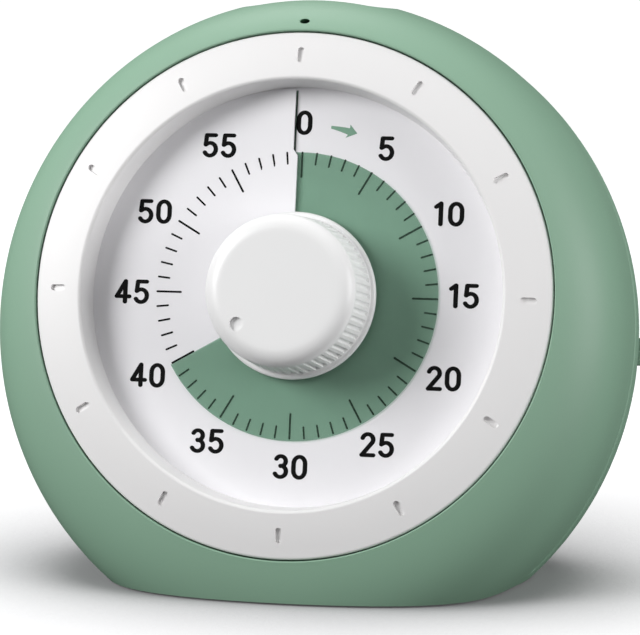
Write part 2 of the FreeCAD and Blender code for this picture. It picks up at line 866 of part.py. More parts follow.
def compound_wheel(place, teeth, phase, back, pinion_teeth):
    """A wheel, its pinion and its arbor in one moulding."""
    wheel = toothed(place, teeth, phase, back, back + wheel_thickness, 0)
    pinion_low = back + wheel_thickness
    pinion_high = pinion_low + pinion_length + pinion_overlap
    pinion = toothed(place, pinion_teeth, 0.0, pinion_low, pinion_high, 0)
    shaft = arbor(place, back_plate + pivot_end_gap, front_plate - pivot_end_gap)
    return joined([wheel, pinion, shaft])


def timer_wheel():
    phase = mesh_phase(timer_place, timer_teeth, third_place, third_pinion_teeth, 0.0)
    return toothed(timer_place, timer_teeth, phase, timer_wheel_back,
                   timer_wheel_back + wheel_thickness, spindle_radius + running_gap)


def third_wheel():
    phase = mesh_phase(third_place, third_teeth, second_place, second_pinion_teeth, 0.0)
    return compound_wheel(third_place, third_teeth, phase, third_wheel_back, third_pinion_teeth)


def second_wheel():
    phase = mesh_phase(second_place, second_teeth, middle_place, middle_pinion_teeth, 0.0)
    return compound_wheel(second_place, second_teeth, phase, second_wheel_back, second_pinion_teeth)


def middle_wheel():
    phase = mesh_phase(middle_place, middle_teeth, rotor_place, rotor_pinion_teeth, 0.0)
    return compound_wheel(middle_place, middle_teeth, phase, middle_wheel_back, middle_pinion_teeth)


def rotor_pinion():
    low = middle_wheel_back - pinion_overlap
    pinion = toothed(rotor_place, rotor_pinion_teeth, 0.0, low, magnet_back, 0)
    shaft = arbor(rotor_place, back_plate + pivot_end_gap, front_plate - pivot_end_gap)
    return joined([pinion, shaft])


def rotor_magnet():
    return tube(magnet_radius, arbor_radius, magnet_back, magnet_front, *rotor_place)


# Step motor and circuit

def stator():
    low, high = stator_back, stator_back + stator_thickness
    right = coil_x + core_radius + stator_end
    x, y = rotor_place
    leg_left = x + stator_hole
    top, bottom = coil_high + stator_leg, coil_low - stator_leg
    upper = block((x, coil_high, low), (right, top, high))
    riser = block((x - riser_left, y, low), (x + riser_right, top, high))
    faller = block((leg_left, bottom, low), (leg_left + faller_width, y, high))
    lower = block((leg_left, bottom, low), (right, coil_low, high))
    ring = rod(stator_ring, low, high, x, y)
    lamination = joined([ring, upper, riser, faller, lower])
    return lamination.cut(rod(stator_hole, low - past, high + past, x, y))


def along_y(radius, low, high, x, z):
    """A round bar along Y."""
    return Part.makeCylinder(radius, high - low, V(x, low, z), V(0, 1, 0))


def coil_core():
    core = along_y(core_radius, coil_low, coil_high, coil_x, coil_depth)
    cheek = coil_radius + coil_cheek_rim
    lower = along_y(cheek, coil_low, coil_low + coil_cheek, coil_x, coil_depth)
    upper = along_y(cheek, coil_high - coil_cheek, coil_high, coil_x, coil_depth)
    return joined([core, lower, upper])


def coil_winding():
    low, high = coil_low + coil_cheek, coil_high - coil_cheek
    return along_y(coil_radius, low, high, coil_x, coil_depth).cut(
        along_y(core_radius, low - past, high + past, coil_x, coil_depth))


def circuit_board():
    low = (board_low[0], board_low[1], board_back)
    high = (board_high[0], board_high[1], board_back + board_thickness)
    board = block(low, high)
    chip_x = (board_low[0] + board_high[0]) / 2
    chip_y = (board_low[1] + board_high[1]) / 2
    chip = rod(chip_radius, high[2], high[2] + chip_height, chip_x, chip_y)
    return joined([board, chip])


def quartz_crystal():
    x = board_low[0] + crystal_inset
    y = (board_low[1] + board_high[1]) / 2 - crystal_length / 2
    z = board_back + board_thickness + crystal_radius + crystal_gap
    return along_y(crystal_radius, y, y + crystal_length, x, z)


def sounder():
    top = -ring_seat_depth - ledge_thickness - sounder_gap
    centre = case_half_height - sounder_below_top
    body = rod(sounder_radius, top - sounder_height, top, 0, centre)
    port = rod(sounder_port, top - sounder_port_depth, top + past, 0, centre)
    return body.cut(port)


# Movement case

def movement_half_case(low, high, plate_low, plate_high):
    """A tray: four walls and one bearing plate."""
    half = movement_half
    body = rounded_plate(half, half, movement_corner, low, high)
    inner = half - movement_wall
    hollow = rounded_plate(inner, inner, movement_corner - movement_wall, low - past, high + past)
    tray = body.cut(hollow)
    cover = rounded_plate(half, half, movement_corner, plate_low, plate_high)
    return tray.fuse(cover)


def arbor_places():
    return (third_place, second_place, middle_place, rotor_place)


def movement_ears(low, high):
    """Ears that carry the movement on the front shell's posts."""
    ears = []
    for x, y in movement_posts():
        side = 1 if x > 0 else -1
        root = side * (movement_half - movement_wall / 2)
        half = movement_post_radius
        bar = block((min(x, root), y - half, low), (max(x, root), y + half, high))
        ears.append(joined([bar, rod(half, low, high, x, y)]))
    return ears


def movement_front_case():
    case = movement_half_case(movement_split, movement_front, front_plate, movement_front)
    boss = rod(bearing_boss_radius, movement_front, movement_front + bearing_boss_height)
    case = case.fuse(boss)
    case = case.cut(rod(spindle_radius + running_gap, front_plate - past, 0))
    for place in arbor_places():
        case = case.cut(rod(pivot_radius + running_gap, front_plate - past,
                            movement_front - bearing_floor, *place))
    return case.removeSplitter()


def movement_back_case():
    case = movement_half_case(movement_back, movement_split, movement_back, back_plate)
    case = case.cut(rod(spindle_pivot_radius + running_gap, movement_back - past, back_plate + past))
    for place in arbor_places():
        case = case.cut(rod(pivot_radius + running_gap, movement_back + bearing_floor,
                            back_plate + past, *place))
    for ear in movement_ears(ear_front - ear_thickness, ear_front):
        case = case.fuse(ear)
    for x, y in movement_posts():
        case = case.cut(rod(ring_screw_shank + screw_hole_gap, movement_back - past,
                            ear_front + past, x, y))
    for x in (board_low[0] + board_post_inset, board_high[0] - board_post_inset):
        y = board_low[1] + board_post_inset
        case = case.fuse(rod(board_post_radius, back_plate, board_back, x, y))
    return case.removeSplitter()


# Power and switch

def along_x(radius, low, high, y, z):
    """A round bar along X."""
    return Part.makeCylinder(radius, high - low, V(low, y, z), X_AXIS)


def battery_cell():
    right = cell_left + cell_length
    can = along_x(cell_radius, cell_left, right, cell_height, cell_depth)
    rims = [e for e in can.Edges if len(e.Vertexes) == 1]
    can = can.makeFillet(cell_round, rims)
    nub = along_x(cell_nub_radius, right, right + cell_nub_length, cell_height, cell_depth)
    return joined([can, nub])


def contact_blade(x_low):
    """A flat spring-steel blade in the end of the battery bay."""
    half = contact_width / 2
    return block((x_low, cell_height - half, cell_depth - half),
                 (x_low + contact_thickness, cell_height + half, cell_depth + half))


def positive_contact():
    blade_low = bay_half_length - contact_thickness
    blade = contact_blade(blade_low)
    nose_start = cell_left + cell_length + cell_nub_length
    nose = along_x(nose_radius, nose_start, blade_low, cell_height, cell_depth)
    return joined([blade, nose])


def negative_spring():
    blade = contact_blade(-bay_half_length)
    end_gap = spring_wire + spring_end_gap
    start = -bay_half_length + contact_thickness + end_gap
    length = cell_left - end_gap - start
    helix = Part.makeHelix(length / spring_turns, length, spring_radius)
    section = Part.Wire([Part.makeCircle(spring_wire, V(spring_radius, 0, 0), V(0, 1, 0))])
    coil = Part.Wire(helix.Edges).makePipeShell([section], True, True)
    coil.rotate(V(0, 0, 0), V(0, 1, 0), 90)
    coil.translate(V(start, cell_height, cell_depth))
    return Part.makeCompound([blade, coil])


def battery_door():
    skin = rear_skin(0.0, case_wall)
    door = skin.common(door_prism(0.0))
    notch = Part.makeSphere(notch_radius, V(0, cell_height + door_half_height - notch_inset,
                                            rear_depths()[-1] + notch_depth - notch_radius))
    door = door.cut(notch)
    root = case_wall - cell_rib_gap
    inside = case_solid([-seam_depth + past] + rear_depths(root)[1:], root)
    for x in (-cell_length / 4, cell_length / 4):
        rib = block((x - cell_rib / 2, cell_height - cell_rib_half, -far),
                    (x + cell_rib / 2, cell_height + cell_rib_half, cell_depth - cell_radius + past))
        rib = rib.cut(along_x(cell_radius + cell_rib_gap, -far, far, cell_height, cell_depth))
        door = door.fuse(rib.common(inside))
    return door.removeSplitter()


def wall_x(inset):
    """The rear shell's side wall at the switch."""
    return case_radius(switch_depth, inset) * (1 - case_narrowing)


def switch_slider():
    outer = wall_x(0.0) + slider_proud
    inner = wall_x(case_wall) - slider_wall_gap
    cap = block((inner - slider_root, switch_height - slider_half, switch_depth - slider_half_depth),
                (outer, switch_height + slider_half, switch_depth + slider_half_depth))
    ridge_tools = []
    for i in (-1, 0, 1):
        y = switch_height + i * slider_ridge_step
        ridge_tools.append(rod(slider_ridge_radius, switch_depth - slider_flange_half,
                               switch_depth + slider_flange_half, outer, y))
    cap = cap.cut(Part.makeCompound(ridge_tools))
    flange = block((inner - slider_flange_thickness, switch_height - slider_flange_half,
                    switch_depth - slider_flange_half_depth),
                   (inner, switch_height + slider_flange_half,
                    switch_depth + slider_flange_half_depth))
    lever_end = inner - slider_flange_thickness - switch_body_gap - switch_body_depth * lever_share
    lever = block((lever_end, switch_height - lever_half, switch_depth - lever_half),
                  (inner, switch_height + lever_half, switch_depth + lever_half))
    return joined([cap, flange, lever])


def switch_body():
    face = wall_x(case_wall) - slider_wall_gap - slider_flange_thickness - switch_body_gap
    body = block((face - switch_body_depth, switch_height - switch_body_half,
                  switch_depth - switch_body_half_depth),
                 (face, switch_height + switch_body_half, switch_depth + switch_body_half_depth))
    reach = lever_half + slider_travel + lever_gap
    depth = lever_half + lever_gap
    slot = block((face - switch_body_depth * lever_slot_share, switch_height - reach,
                  switch_depth - depth),
                 (face + past, switch_height + reach, switch_depth + depth))
    return body.cut(slot)


# Fasteners and feet

def screw(x, y, shank, head, head_height, head_low, tip):
    """A pan-head screw along Z with its head towards the back."""
    body = rod(shank, head_low + head_height, tip, x, y)
    top = rod(head, head_low, head_low + head_height, x, y)
    screw_body = joined([body, top])
    long, short = head * screw_cross_share, screw_cross_half
    floor = head_low + screw_cross_depth
    for half_x, half_y in ((long, short), (short, long)):
        screw_body = screw_body.cut(block((x - half_x, y - half_y, head_low - past),
                                          (x + half_x, y + half_y, floor)))
    return screw_body


def case_screws():
    head_low = -seam_depth - screw_floor - screw_head_height
    tip = -seam_depth + screw_bite
    shank = screw_shank * screw_core
    return Part.makeCompound([screw(x, y, shank, screw_head_radius, screw_head_height, head_low, tip)
                              for x, y in screw_places()])


def ring_screws():
    head_low = -ring_seat_depth - ledge_thickness - ring_screw_head_height
    shank = ring_screw_shank * screw_core
    screws = []
    for angle in ring_screw_angles:
        x, y = clock(channel_middle, angle)
        screws.append(screw(x, y, shank, ring_screw_head, ring_screw_head_height, head_low,
                            channel_top - ring_screw_tip_gap))
    return Part.makeCompound(screws)


def movement_screws():
    head_low = ear_front - ear_thickness - ring_screw_head_height
    tip = movement_back + movement_screw_length
    shank = ring_screw_shank * screw_core
    return Part.makeCompound([screw(x, y, shank, ring_screw_head, ring_screw_head_height, head_low, tip)
                              for x, y in movement_posts()])


def base_feet():
    feet = []
    for place in foot_places:
        feet.append(foot_pocket(place, foot_radius, feet_low, feet_low + foot_thickness))
    return Part.makeCompound(feet)


pieces = {
    "front_shell": front_shell,
    "rear_shell": rear_shell,
    "bezel_ring": bezel_ring,
    "dial_plate": dial_plate,
    "film_leading_half": film_front,
    "film_middle_half": film_middle,
    "film_tail": film_tail,
    "control_knob": knob,
    "timer_spindle": spindle,
    "film_collar": film_collar,
    "clutch_spring": clutch_spring,
    "timer_wheel": timer_wheel,
    "third_wheel": third_wheel,
    "second_wheel": second_wheel,
    "middle_wheel": middle_wheel,
    "rotor_pinion": rotor_pinion,
    "rotor_magnet": rotor_magnet,
    "stator": stator,
    "coil_core": coil_core,
    "coil_winding": coil_winding,
    "circuit_board": circuit_board,
    "quartz_crystal": quartz_crystal,
    "sounder": sounder,
    "movement_front_case": movement_front_case,
    "movement_back_case": movement_back_case,
    "battery_cell": battery_cell,
    "positive_contact": positive_contact,
    "negative_spring": negative_spring,
    "battery_door": battery_door,
    "switch_slider": switch_slider,
    "switch_body": switch_body,
    "case_screws": case_screws,
    "ring_screws": ring_screws,
    "movement_screws": movement_screws,
    "base_feet": base_feet,
}


def setback():
    """Moves the origin under the middle of the timer, front to back."""
    lean = math.radians(lean_back)
    up, out = math.sin(lean), math.cos(lean)
    crown = shoulder_points(knob_face_out - knob_shoulder_drop)
    front = max(r * up + z * out for r, z in crown)
    back = max((case_radius(z) - case_drop) * up - z * out for z in rear_depths())
    return (front - back) / 2


def main():
    os.makedirs("parts", exist_ok=True)
    shift = V(0, setback(), dial_height)
    for name, make in pieces.items():
        shape = stand_up(make())
        shape.translate(shift)
        shape.exportStep(os.path.join("parts", name + ".step"))


main()
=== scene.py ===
import json
import math

import bmesh
import bpy
from bpy.props import FloatProperty, FloatVectorProperty, IntProperty, PointerProperty
from mathutils import Matrix, Vector


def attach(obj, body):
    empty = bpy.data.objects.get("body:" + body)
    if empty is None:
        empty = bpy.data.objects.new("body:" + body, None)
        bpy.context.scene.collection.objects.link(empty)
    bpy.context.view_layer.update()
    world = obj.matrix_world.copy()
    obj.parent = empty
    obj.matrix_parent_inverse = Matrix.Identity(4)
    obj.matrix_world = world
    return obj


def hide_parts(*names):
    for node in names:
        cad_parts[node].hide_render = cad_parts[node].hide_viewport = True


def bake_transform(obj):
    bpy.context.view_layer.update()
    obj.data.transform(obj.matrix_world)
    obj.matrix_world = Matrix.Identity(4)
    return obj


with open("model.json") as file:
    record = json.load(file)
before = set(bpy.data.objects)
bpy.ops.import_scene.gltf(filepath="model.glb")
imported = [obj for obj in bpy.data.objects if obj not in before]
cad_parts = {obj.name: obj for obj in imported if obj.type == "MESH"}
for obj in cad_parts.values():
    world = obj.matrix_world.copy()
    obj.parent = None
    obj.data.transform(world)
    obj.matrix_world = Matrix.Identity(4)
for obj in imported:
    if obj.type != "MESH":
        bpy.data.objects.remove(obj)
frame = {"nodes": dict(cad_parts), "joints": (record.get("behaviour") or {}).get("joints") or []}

bl_info = {
    "name": "Visual Countdown Timer",
    "version": (1, 0, 0),
    "blender": (4, 5, 0),
    "location": "3D View > Sidebar > Timer",
    "description": "Dresses the countdown timer's solids with finished surfaces, prints and a stage",
    "category": "Object",
}

# Everything is drawn in the dial's own frame in millimetres (X right, Y up the dial,
# Z out of it, zero on the printed face) and set in place by DIAL_FRAME at the end.
MM = 0.001
TURN_JOINT = next(j for j in frame["joints"] if j["name"] == "timer_turn")
DIAL_CENTRE = Vector(TURN_JOINT["pos_m"])
INWARD = Vector(TURN_JOINT["axis"])
LEAN_TURN = math.atan2(INWARD.y, -INWARD.z)
DIAL_FRAME = Matrix.Translation(DIAL_CENTRE) @ Matrix.Rotation(LEAN_TURN, 4, "X")
TABLE_TO_DIAL = -DIAL_CENTRE.z / MM
ROUND = 192                 # segments round a large turned piece

# Where pieces meet inside, in millimetres from the axis or along it from the dial's face.
RING_SEAT = -1.0            # back of the ring and its seat in the front shell
DIAL_REBATE = 31.65         # radius of the rebate that takes the dial plate
REBATE_FLOOR = -0.6
SEAT_OPENING = 27.5         # opening of the front shell behind the dial
HOLLOW_FRONT = -2.5         # front of the front shell's hollow
SLIT_REACH = 29.3           # outer end of the slit
LIP_INNER_EDGE = -0.6       # edge of the dial's lifted lip, left of the 0, over the film
LIP_OUTER_EDGE = -1.26      # and beyond the film
LIP_CURVE = 1.35            # exponent of the lip's rise


def linear(code):
    """An sRGB hex colour as linear numbers."""
    parts = [int(code[i:i + 2], 16) / 255 for i in (1, 3, 5)]
    return tuple(p / 12.92 if p <= 0.04045 else ((p + 0.055) / 1.055) ** 2.4 for p in parts)


def opaque(colour):
    """A colour with its fourth value."""
    return tuple(colour) + (1.0,)


def tone(label, note, code):
    return FloatVectorProperty(name=label, description=note, subtype="COLOR", size=3,
                               min=0.0, max=1.0, default=linear(code))


def sizes(title, rows):
    """A group of sizes in millimetres, or of whole counts, from rows of name, default and note."""
    fields = {}
    for name, size, note in rows:
        kind = IntProperty if isinstance(size, int) else FloatProperty
        label = name.replace("_", " ").capitalize()
        fields[name] = kind(name=label, description=note, default=size)
    return type(title, (bpy.types.PropertyGroup,), {"__annotations__": fields})


def metres(label, note, size):
    return FloatProperty(name=label, description=note, default=size, unit="LENGTH")


def turn_of(label, note, degrees):
    return FloatProperty(name=label, description=note, default=math.radians(degrees), subtype="ANGLE")


def watts(label, note, power):
    return FloatProperty(name=label, description=note, default=power, unit="POWER")


WHITE = (1.0, 1.0, 1.0, 1.0)


TimerCaseSizes = sizes("TimerCaseSizes", (
    ("half_width", 46.0, "Half the case's width at the parting line"),
    ("half_height", 47.59, "Half the case's height at the parting line"),
    ("drop", 3.5, "How far the case's centre lies below the dial's"),
    ("wall", 2.0, "Wall of the two shells"),
    ("base_wall", 2.4, "Thickness of the flat base"),
    ("base_clear", 0.3, "Gap between the base and the table"),
    ("seam_depth", 17.5, "Parting line behind the dial"),
    ("front_bulge", 23.8, "Depth of the front's rounded profile"),
    ("front_fullness", 3.84, "Exponent of the front's profile"),
    ("well_radius", 37.3, "Inner edge of the front shell round the ring"),
    ("lip_round", 0.18, "Rounding of the edge round the ring"),
    ("seam_round", 0.1, "Rounding of the front shell's edge at the seam"),
    ("hole_half_width", 0.74, "Half the width of the oval sound hole"),
    ("hole_half_height", 0.4, "Half the height of the sound hole"),
    ("hole_rise", 1.5, "Sound hole above the edge round the ring"),
    ("scoop_half", 11.3, "Half the width of the finger scoop"),
    ("scoop_depth", 0.5, "Depth of the finger scoop"),
))


TimerRingSizes = sizes("TimerRingSizes", (
    ("radius", 37.1, "Outer radius of the white ring"),
    ("edge_out", 3.3, "Ring's outer edge in front of the dial"),
    ("face_out", 4.6, "Front of the ring's inner edge"),
    ("camber", 0.1, "Rise of the face over a straight slope"),
    ("opening", 29.7, "Inner wall at the dial"),
    ("draft", 0.5, "How much wider the opening is at the front"),
    ("edge_round", 0.45, "Rounding of the outer edge"),
    ("lip_round", 0.5, "Rounding at the front of the inner wall"),
    ("slot_count", 12, "Number of marker slots"),
    ("slot_centre", 33.8, "Radius of the slots' centres"),
    ("slot_length", 2.3, "Length of a marker slot"),
    ("slot_width", 0.9, "Width of a marker slot"),
    ("slot_depth", 0.55, "Depth of a marker slot"),
))


TimerDialSizes = sizes("TimerDialSizes", (
    ("radius", 31.4, "Radius of the dial plate"),
    ("thickness", 0.6, "Thickness of the dial plate"),
    ("hole", 6.3, "Radius of the hole for the collar"),
    ("lip_rise", 0.6, "How far the dial lifts at the slit"),
    ("lip_start", 8.0, "Where the lift begins left of the 0"),
    ("slit_edge", 1.0, "Lower side of the slit, left of the 0"),
    ("print_height", 0.02, "Height of the printed ink"),
    ("mark_outer", 20.4, "Outer end of the minute marks"),
    ("minute_length", 1.85, "Length of a minute mark"),
    ("five_length", 3.75, "Length of a five-minute mark"),
    ("mark_width", 0.27, "Width of a mark"),
    ("mark_rise", 0.17, "The printed circle lies this much above the axis"),
    ("number_height", 3.5, "Height of the numbers"),
    ("stroke", 0.66, "Width of a number's upright stroke"),
))


TimerFilmSizes = sizes("TimerFilmSizes", (
    ("radius", 20.45, "Radius of the coloured film"),
    ("inner", 5.65, "Edge of the film at the collar"),
    ("thickness", 0.15, "Thickness of the film"),
    ("lift", 0.1, "Height of the film above the dial"),
    ("tail_depth", 1.1, "Depth of the film's hidden part behind the dial"),
))


TimerKnobSizes = sizes("TimerKnobSizes", (
    ("face_out", 11.49, "Knob's face in front of the dial"),
    ("face_radius", 8.2, "Radius of the flat face"),
    ("shoulder_radius", 10.7, "Top of the grip"),
    ("shoulder_drop", 2.1, "Depth of the rounded shoulder"),
    ("foot_radius", 11.1, "Foot of the grip"),
    ("flange_radius", 11.85, "Radius of the flange"),
    ("flange_out", 0.95, "Underside of the flange above the dial"),
    ("flange_thickness", 1.0, "Thickness of the flange"),
    ("grooves", 58, "Number of finger grooves"),
    ("groove_top", 0.2, "Depth of a finger groove at its top"),
    ("groove_foot", 0.42, "Depth of a groove at its foot"),
    ("dimple_radius", 0.97, "Radius of the pointer dimple"),
    ("dimple_depth", 0.6, "Depth of the pointer dimple"),
    ("dimple_centre", 7.5, "Distance of the dimple from the axis"),
    ("dimple_angle", 229.0, "Clock angle of the dimple, degrees"),
))


class TimerColours(bpy.types.PropertyGroup):
    shell: tone("Shells", "Sage green ABS", "#8BAF97")
    ring: tone("Ring", "White ABS of the ring", "#F1F0F0")
    knob: tone("Knob", "White ABS of the knob", "#F2F2F2")
    dial: tone("Dial", "White polystyrene of the dial", "#EEEDF0")
    ink: tone("Ink", "Black of the marks and numbers", "#030303")
    arrow: tone("Arrow", "Green of the printed arrow", "#7FA58F")
    film: tone("Film", "Green of the tinted film", "#85A894")
    rubber: tone("Feet", "Grey of the rubber feet", "#4A4B4B")


class TimerStage(bpy.types.PropertyGroup):
    floor: tone("Floor", "Colour of the floor", "#9A9A9C")
    bounce: tone("Floor bounce", "Colour with which the floor lights the timer", "#1E1E20")
    lens: FloatProperty(name="Lens", description="Focal length, mm", default=185.6)
    azimuth: turn_of("Azimuth", "Camera's turn round the timer", 12.71)
    elevation: turn_of("Elevation", "Camera's height angle", 7.68)
    distance: metres("Distance", "Camera to the dial's centre", 0.46536)
    shift_right: metres("Aim right", "Camera's sideways offset", 0.0034)
    shift_down: metres("Aim down", "Camera's downward offset", 0.00297)
    key: watts("Key light", "Softbox in front, to the left", 7.1)
    side: watts("Side light", "Disc to the right", 4.7)
    top: watts("Top light", "Disc above and behind", 2.6)
    world: FloatProperty(name="Surroundings", description="Strength of the pale room", default=0.44)


GROUPS = {
    "timer_case": TimerCaseSizes, "timer_ring": TimerRingSizes, "timer_dial": TimerDialSizes,
    "timer_film": TimerFilmSizes, "timer_knob": TimerKnobSizes, "timer_colours": TimerColours,
    "timer_stage": TimerStage,
}


# Mesh tools

def as_object(bm, name):
    mesh = bpy.data.meshes.new(name)
    bm.to_mesh(mesh)
    bm.free()
    made = bpy.data.objects.new(name, mesh)
    bpy.context.collection.objects.link(made)
    return made


def finished(bm, name, body, material, crease=35.0, nodes=()):
    """Puts a mesh drawn in the dial's frame in its place and makes it a riding piece."""
    scaled(bm, MM, MM, MM)
    bmesh.ops.transform(bm, matrix=DIAL_FRAME, verts=bm.verts)
    return dressed(as_object(bm, name), body, material, crease, nodes)


def dressed(piece, body, material, crease=35.0, nodes=()):
    """Smooth shading between creases, the material, and the body that carries the piece."""
    mesh = piece.data
    mesh.shade_smooth()
    mesh.set_sharp_from_angle(angle=math.radians(crease))
    mesh.materials.clear()
    mesh.materials.append(material)
    if body:
        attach(piece, body)
    if nodes:
        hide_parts(*nodes)
    return piece


def copy_of(node_name, name):
    """A merged copy of a solid, with its doubled corners joined."""
    bm = bmesh.new()
    bm.from_mesh(frame["nodes"][node_name].data)
    bmesh.ops.remove_doubles(bm, verts=bm.verts, dist=1e-6)
    return as_object(bm, name)


def loop_at(bm, half_x, half_y, y, z):
    """An oval loop of edges round the axis."""
    verts = bmesh.ops.create_circle(bm, segments=ROUND, radius=1.0)["verts"]
    bmesh.ops.scale(bm, vec=(half_x, half_y, 1.0), verts=verts)
    bmesh.ops.translate(bm, vec=(0.0, y, z), verts=verts)
    return list(dict.fromkeys(e for v in verts for e in v.link_edges))


def stacked(loops_wanted):
    """A closed body from oval loops, capped at both ends."""
    bm = bmesh.new()
    loops = [loop_at(bm, *one) for one in loops_wanted]
    for lower, upper in zip(loops, loops[1:]):
        bmesh.ops.bridge_loops(bm, edges=lower + upper)
    for end in (loops[0], loops[-1]):
        bmesh.ops.edgeloop_fill(bm, edges=end)
    bmesh.ops.recalc_face_normals(bm, faces=bm.faces)
    return bm


def moved(bm, *by):
    bmesh.ops.translate(bm, vec=by, verts=bm.verts)


def scaled(bm, *by):
    bmesh.ops.scale(bm, vec=by, verts=bm.verts)


def swung(bm, turn, axis):
    bmesh.ops.rotate(bm, cent=(0, 0, 0), matrix=Matrix.Rotation(turn, 3, axis), verts=bm.verts)


def arc(centre, radius, start, end, steps):
    """Points along an arc in the (radius, height) plane."""
    turns = [math.radians(start + (end - start) * i / steps) for i in range(steps + 1)]
    return [(centre[0] + radius * math.cos(t), centre[1] + radius * math.sin(t)) for t in turns]


def turned(points, segments=ROUND):
    """A body spun about the axis from a closed outline of (radius, height) points."""
    bm = bmesh.new()
    verts = [bm.verts.new((r, 0.0, z)) for r, z in points]
    edges = [bm.edges.new(p) for p in zip(verts, verts[1:] + verts[:1])]
    bmesh.ops.spin(bm, geom=verts + edges, axis=(0, 0, 1), cent=(0, 0, 0),
                   angle=math.tau, steps=segments, use_merge=True)
    bmesh.ops.remove_doubles(bm, verts=bm.verts, dist=1e-5)
    bmesh.ops.recalc_face_normals(bm, faces=bm.faces)
    return bm


def rod(radius, low, high, x=0.0, y=0.0):
    """A round bar along Z."""
    sides = 48
    bm = bmesh.new()
    bmesh.ops.create_cone(bm, cap_ends=True, segments=sides, radius1=radius, radius2=radius,
                          depth=high - low)
    moved(bm, x, y, (low + high) / 2)
    return bm


def stroke(points, half, ends=6):
    """Outline of a round-ended stroke of constant width along a line of points."""
    left, right = [], []
    last = len(points) - 1
    for i, (x, y) in enumerate(points):
        before, after = points[max(i - 1, 0)], points[min(i + 1, last)]
        dx, dy = after[0] - before[0], after[1] - before[1]
        length = math.hypot(dx, dy)
        nx, ny = -dy / length * half, dx / length * half
        left.append((x + nx, y + ny))
        right.append((x - nx, y - ny))
    outline = list(left)
    for centre, first in ((points[-1], left[-1]), (points[0], right[0])):
        start = math.atan2(first[1] - centre[1], first[0] - centre[0])
        cap = [(centre[0] + half * math.cos(start - math.pi * k / ends),
                centre[1] + half * math.sin(start - math.pi * k / ends)) for k in range(1, ends)]
        outline += cap
        if centre is points[-1]:
            outline += right[::-1]
    return outline


def thickened(bm, faces, height):
    """Makes a closed body of open faces by drawing them along Z."""
    lifted = bmesh.ops.extrude_face_region(bm, geom=faces)["geom"]
    bmesh.ops.translate(bm, vec=(0, 0, height),
                        verts=[g for g in lifted if isinstance(g, bmesh.types.BMVert)])
    bmesh.ops.recalc_face_normals(bm, faces=bm.faces)


def print_layer(bm, outline, low, high):
    """Adds a flat layer with the given outline."""
    thickened(bm, [bm.faces.new([bm.verts.new((x, y, low)) for x, y in outline])], high - low)


def carved(body, tools, operation="DIFFERENCE"):
    """Cuts tools from a body, or joins them to it, and gives the result as a bmesh."""
    base = as_object(body, "work_body")
    cutters = [as_object(t, "work_tool") for t in tools]
    for cutter in cutters:
        step = base.modifiers.new("step", "BOOLEAN")
        step.operation = operation
        step.solver = "MANIFOLD"
        step.object = cutter
    bpy.context.view_layer.update()
    shaped = base.evaluated_get(bpy.context.evaluated_depsgraph_get())
    result = bmesh.new()
    result.from_mesh(shaped.to_mesh())
    shaped.to_mesh_clear()
    for old in [base] + cutters:
        data = old.data
        bpy.data.objects.remove(old)
        bpy.data.meshes.remove(data)
    if not result.faces:
        raise RuntimeError("a cut left nothing")
    return result


# The case's outer form

def case_radius(c, z, inset=0.0):
    """Half the height of the front of the case at depth z."""
    half = c.half_height - inset
    share = (z + c.seam_depth) / (c.front_bulge - inset)
    return half * (1 - min(max(share, 0.0), 1.0) ** c.front_fullness) ** (1 / c.front_fullness)


def case_loop(c, edge_out, z, inset=0.0):
    """Half width, half height, centre height and depth of the front at depth z."""
    ring = case_radius(c, edge_out)
    away = (case_radius(c, z) - ring) / (c.half_height - ring)
    narrowing = 1 - c.half_width / c.half_height
    half_y = case_radius(c, z, inset)
    return half_y * (1 - narrowing * away), half_y, -c.drop * away, z


def front_depths(c, end, inset, count):
    """Depths from the seam forward, closer together where the case turns in."""
    bulge = c.front_bulge - inset
    last = math.asin(((end + c.seam_depth) / bulge) ** (c.front_fullness / 2))
    turns = [last * i / count for i in range(count + 1)]
    return [-c.seam_depth + bulge * math.sin(t) ** (2 / c.front_fullness) for t in turns]


def cut_at_base(bm, height):
    """Cuts a body off flat at a height above the table and closes it."""
    to_dial = DIAL_FRAME.inverted().to_3x3()
    up = to_dial @ Vector((0, 0, 1))
    point = up * (TABLE_TO_DIAL + height)
    geom = list(bm.verts) + list(bm.edges) + list(bm.faces)
    cut = bmesh.ops.bisect_plane(bm, geom=geom, plane_co=point, plane_no=up, clear_inner=True)
    rim = [g for g in cut["geom_cut"] if isinstance(g, bmesh.types.BMEdge)]
    bmesh.ops.edgeloop_fill(bm, edges=rim)
    bmesh.ops.recalc_face_normals(bm, faces=bm.faces)
    return bm


# Materials

def add_node(tree, kind, inputs=None, **settings):
    """Adds one shader node. An input given another node's output is linked to it."""
    made = tree.nodes.new("ShaderNode" + kind)
    for name, value in settings.items():
        setattr(made, name, value)
    for name, value in (inputs or {}).items():
        socket = made.inputs[name]
        if isinstance(value, bpy.types.NodeSocket):
            tree.links.new(value, socket)
        else:
            socket.default_value = value
    return made


def fresh(name):
    """A new material and its emptied node tree."""
    material = bpy.data.materials.new(name)
    material.use_nodes = True
    material.node_tree.nodes.clear()
    return material, material.node_tree


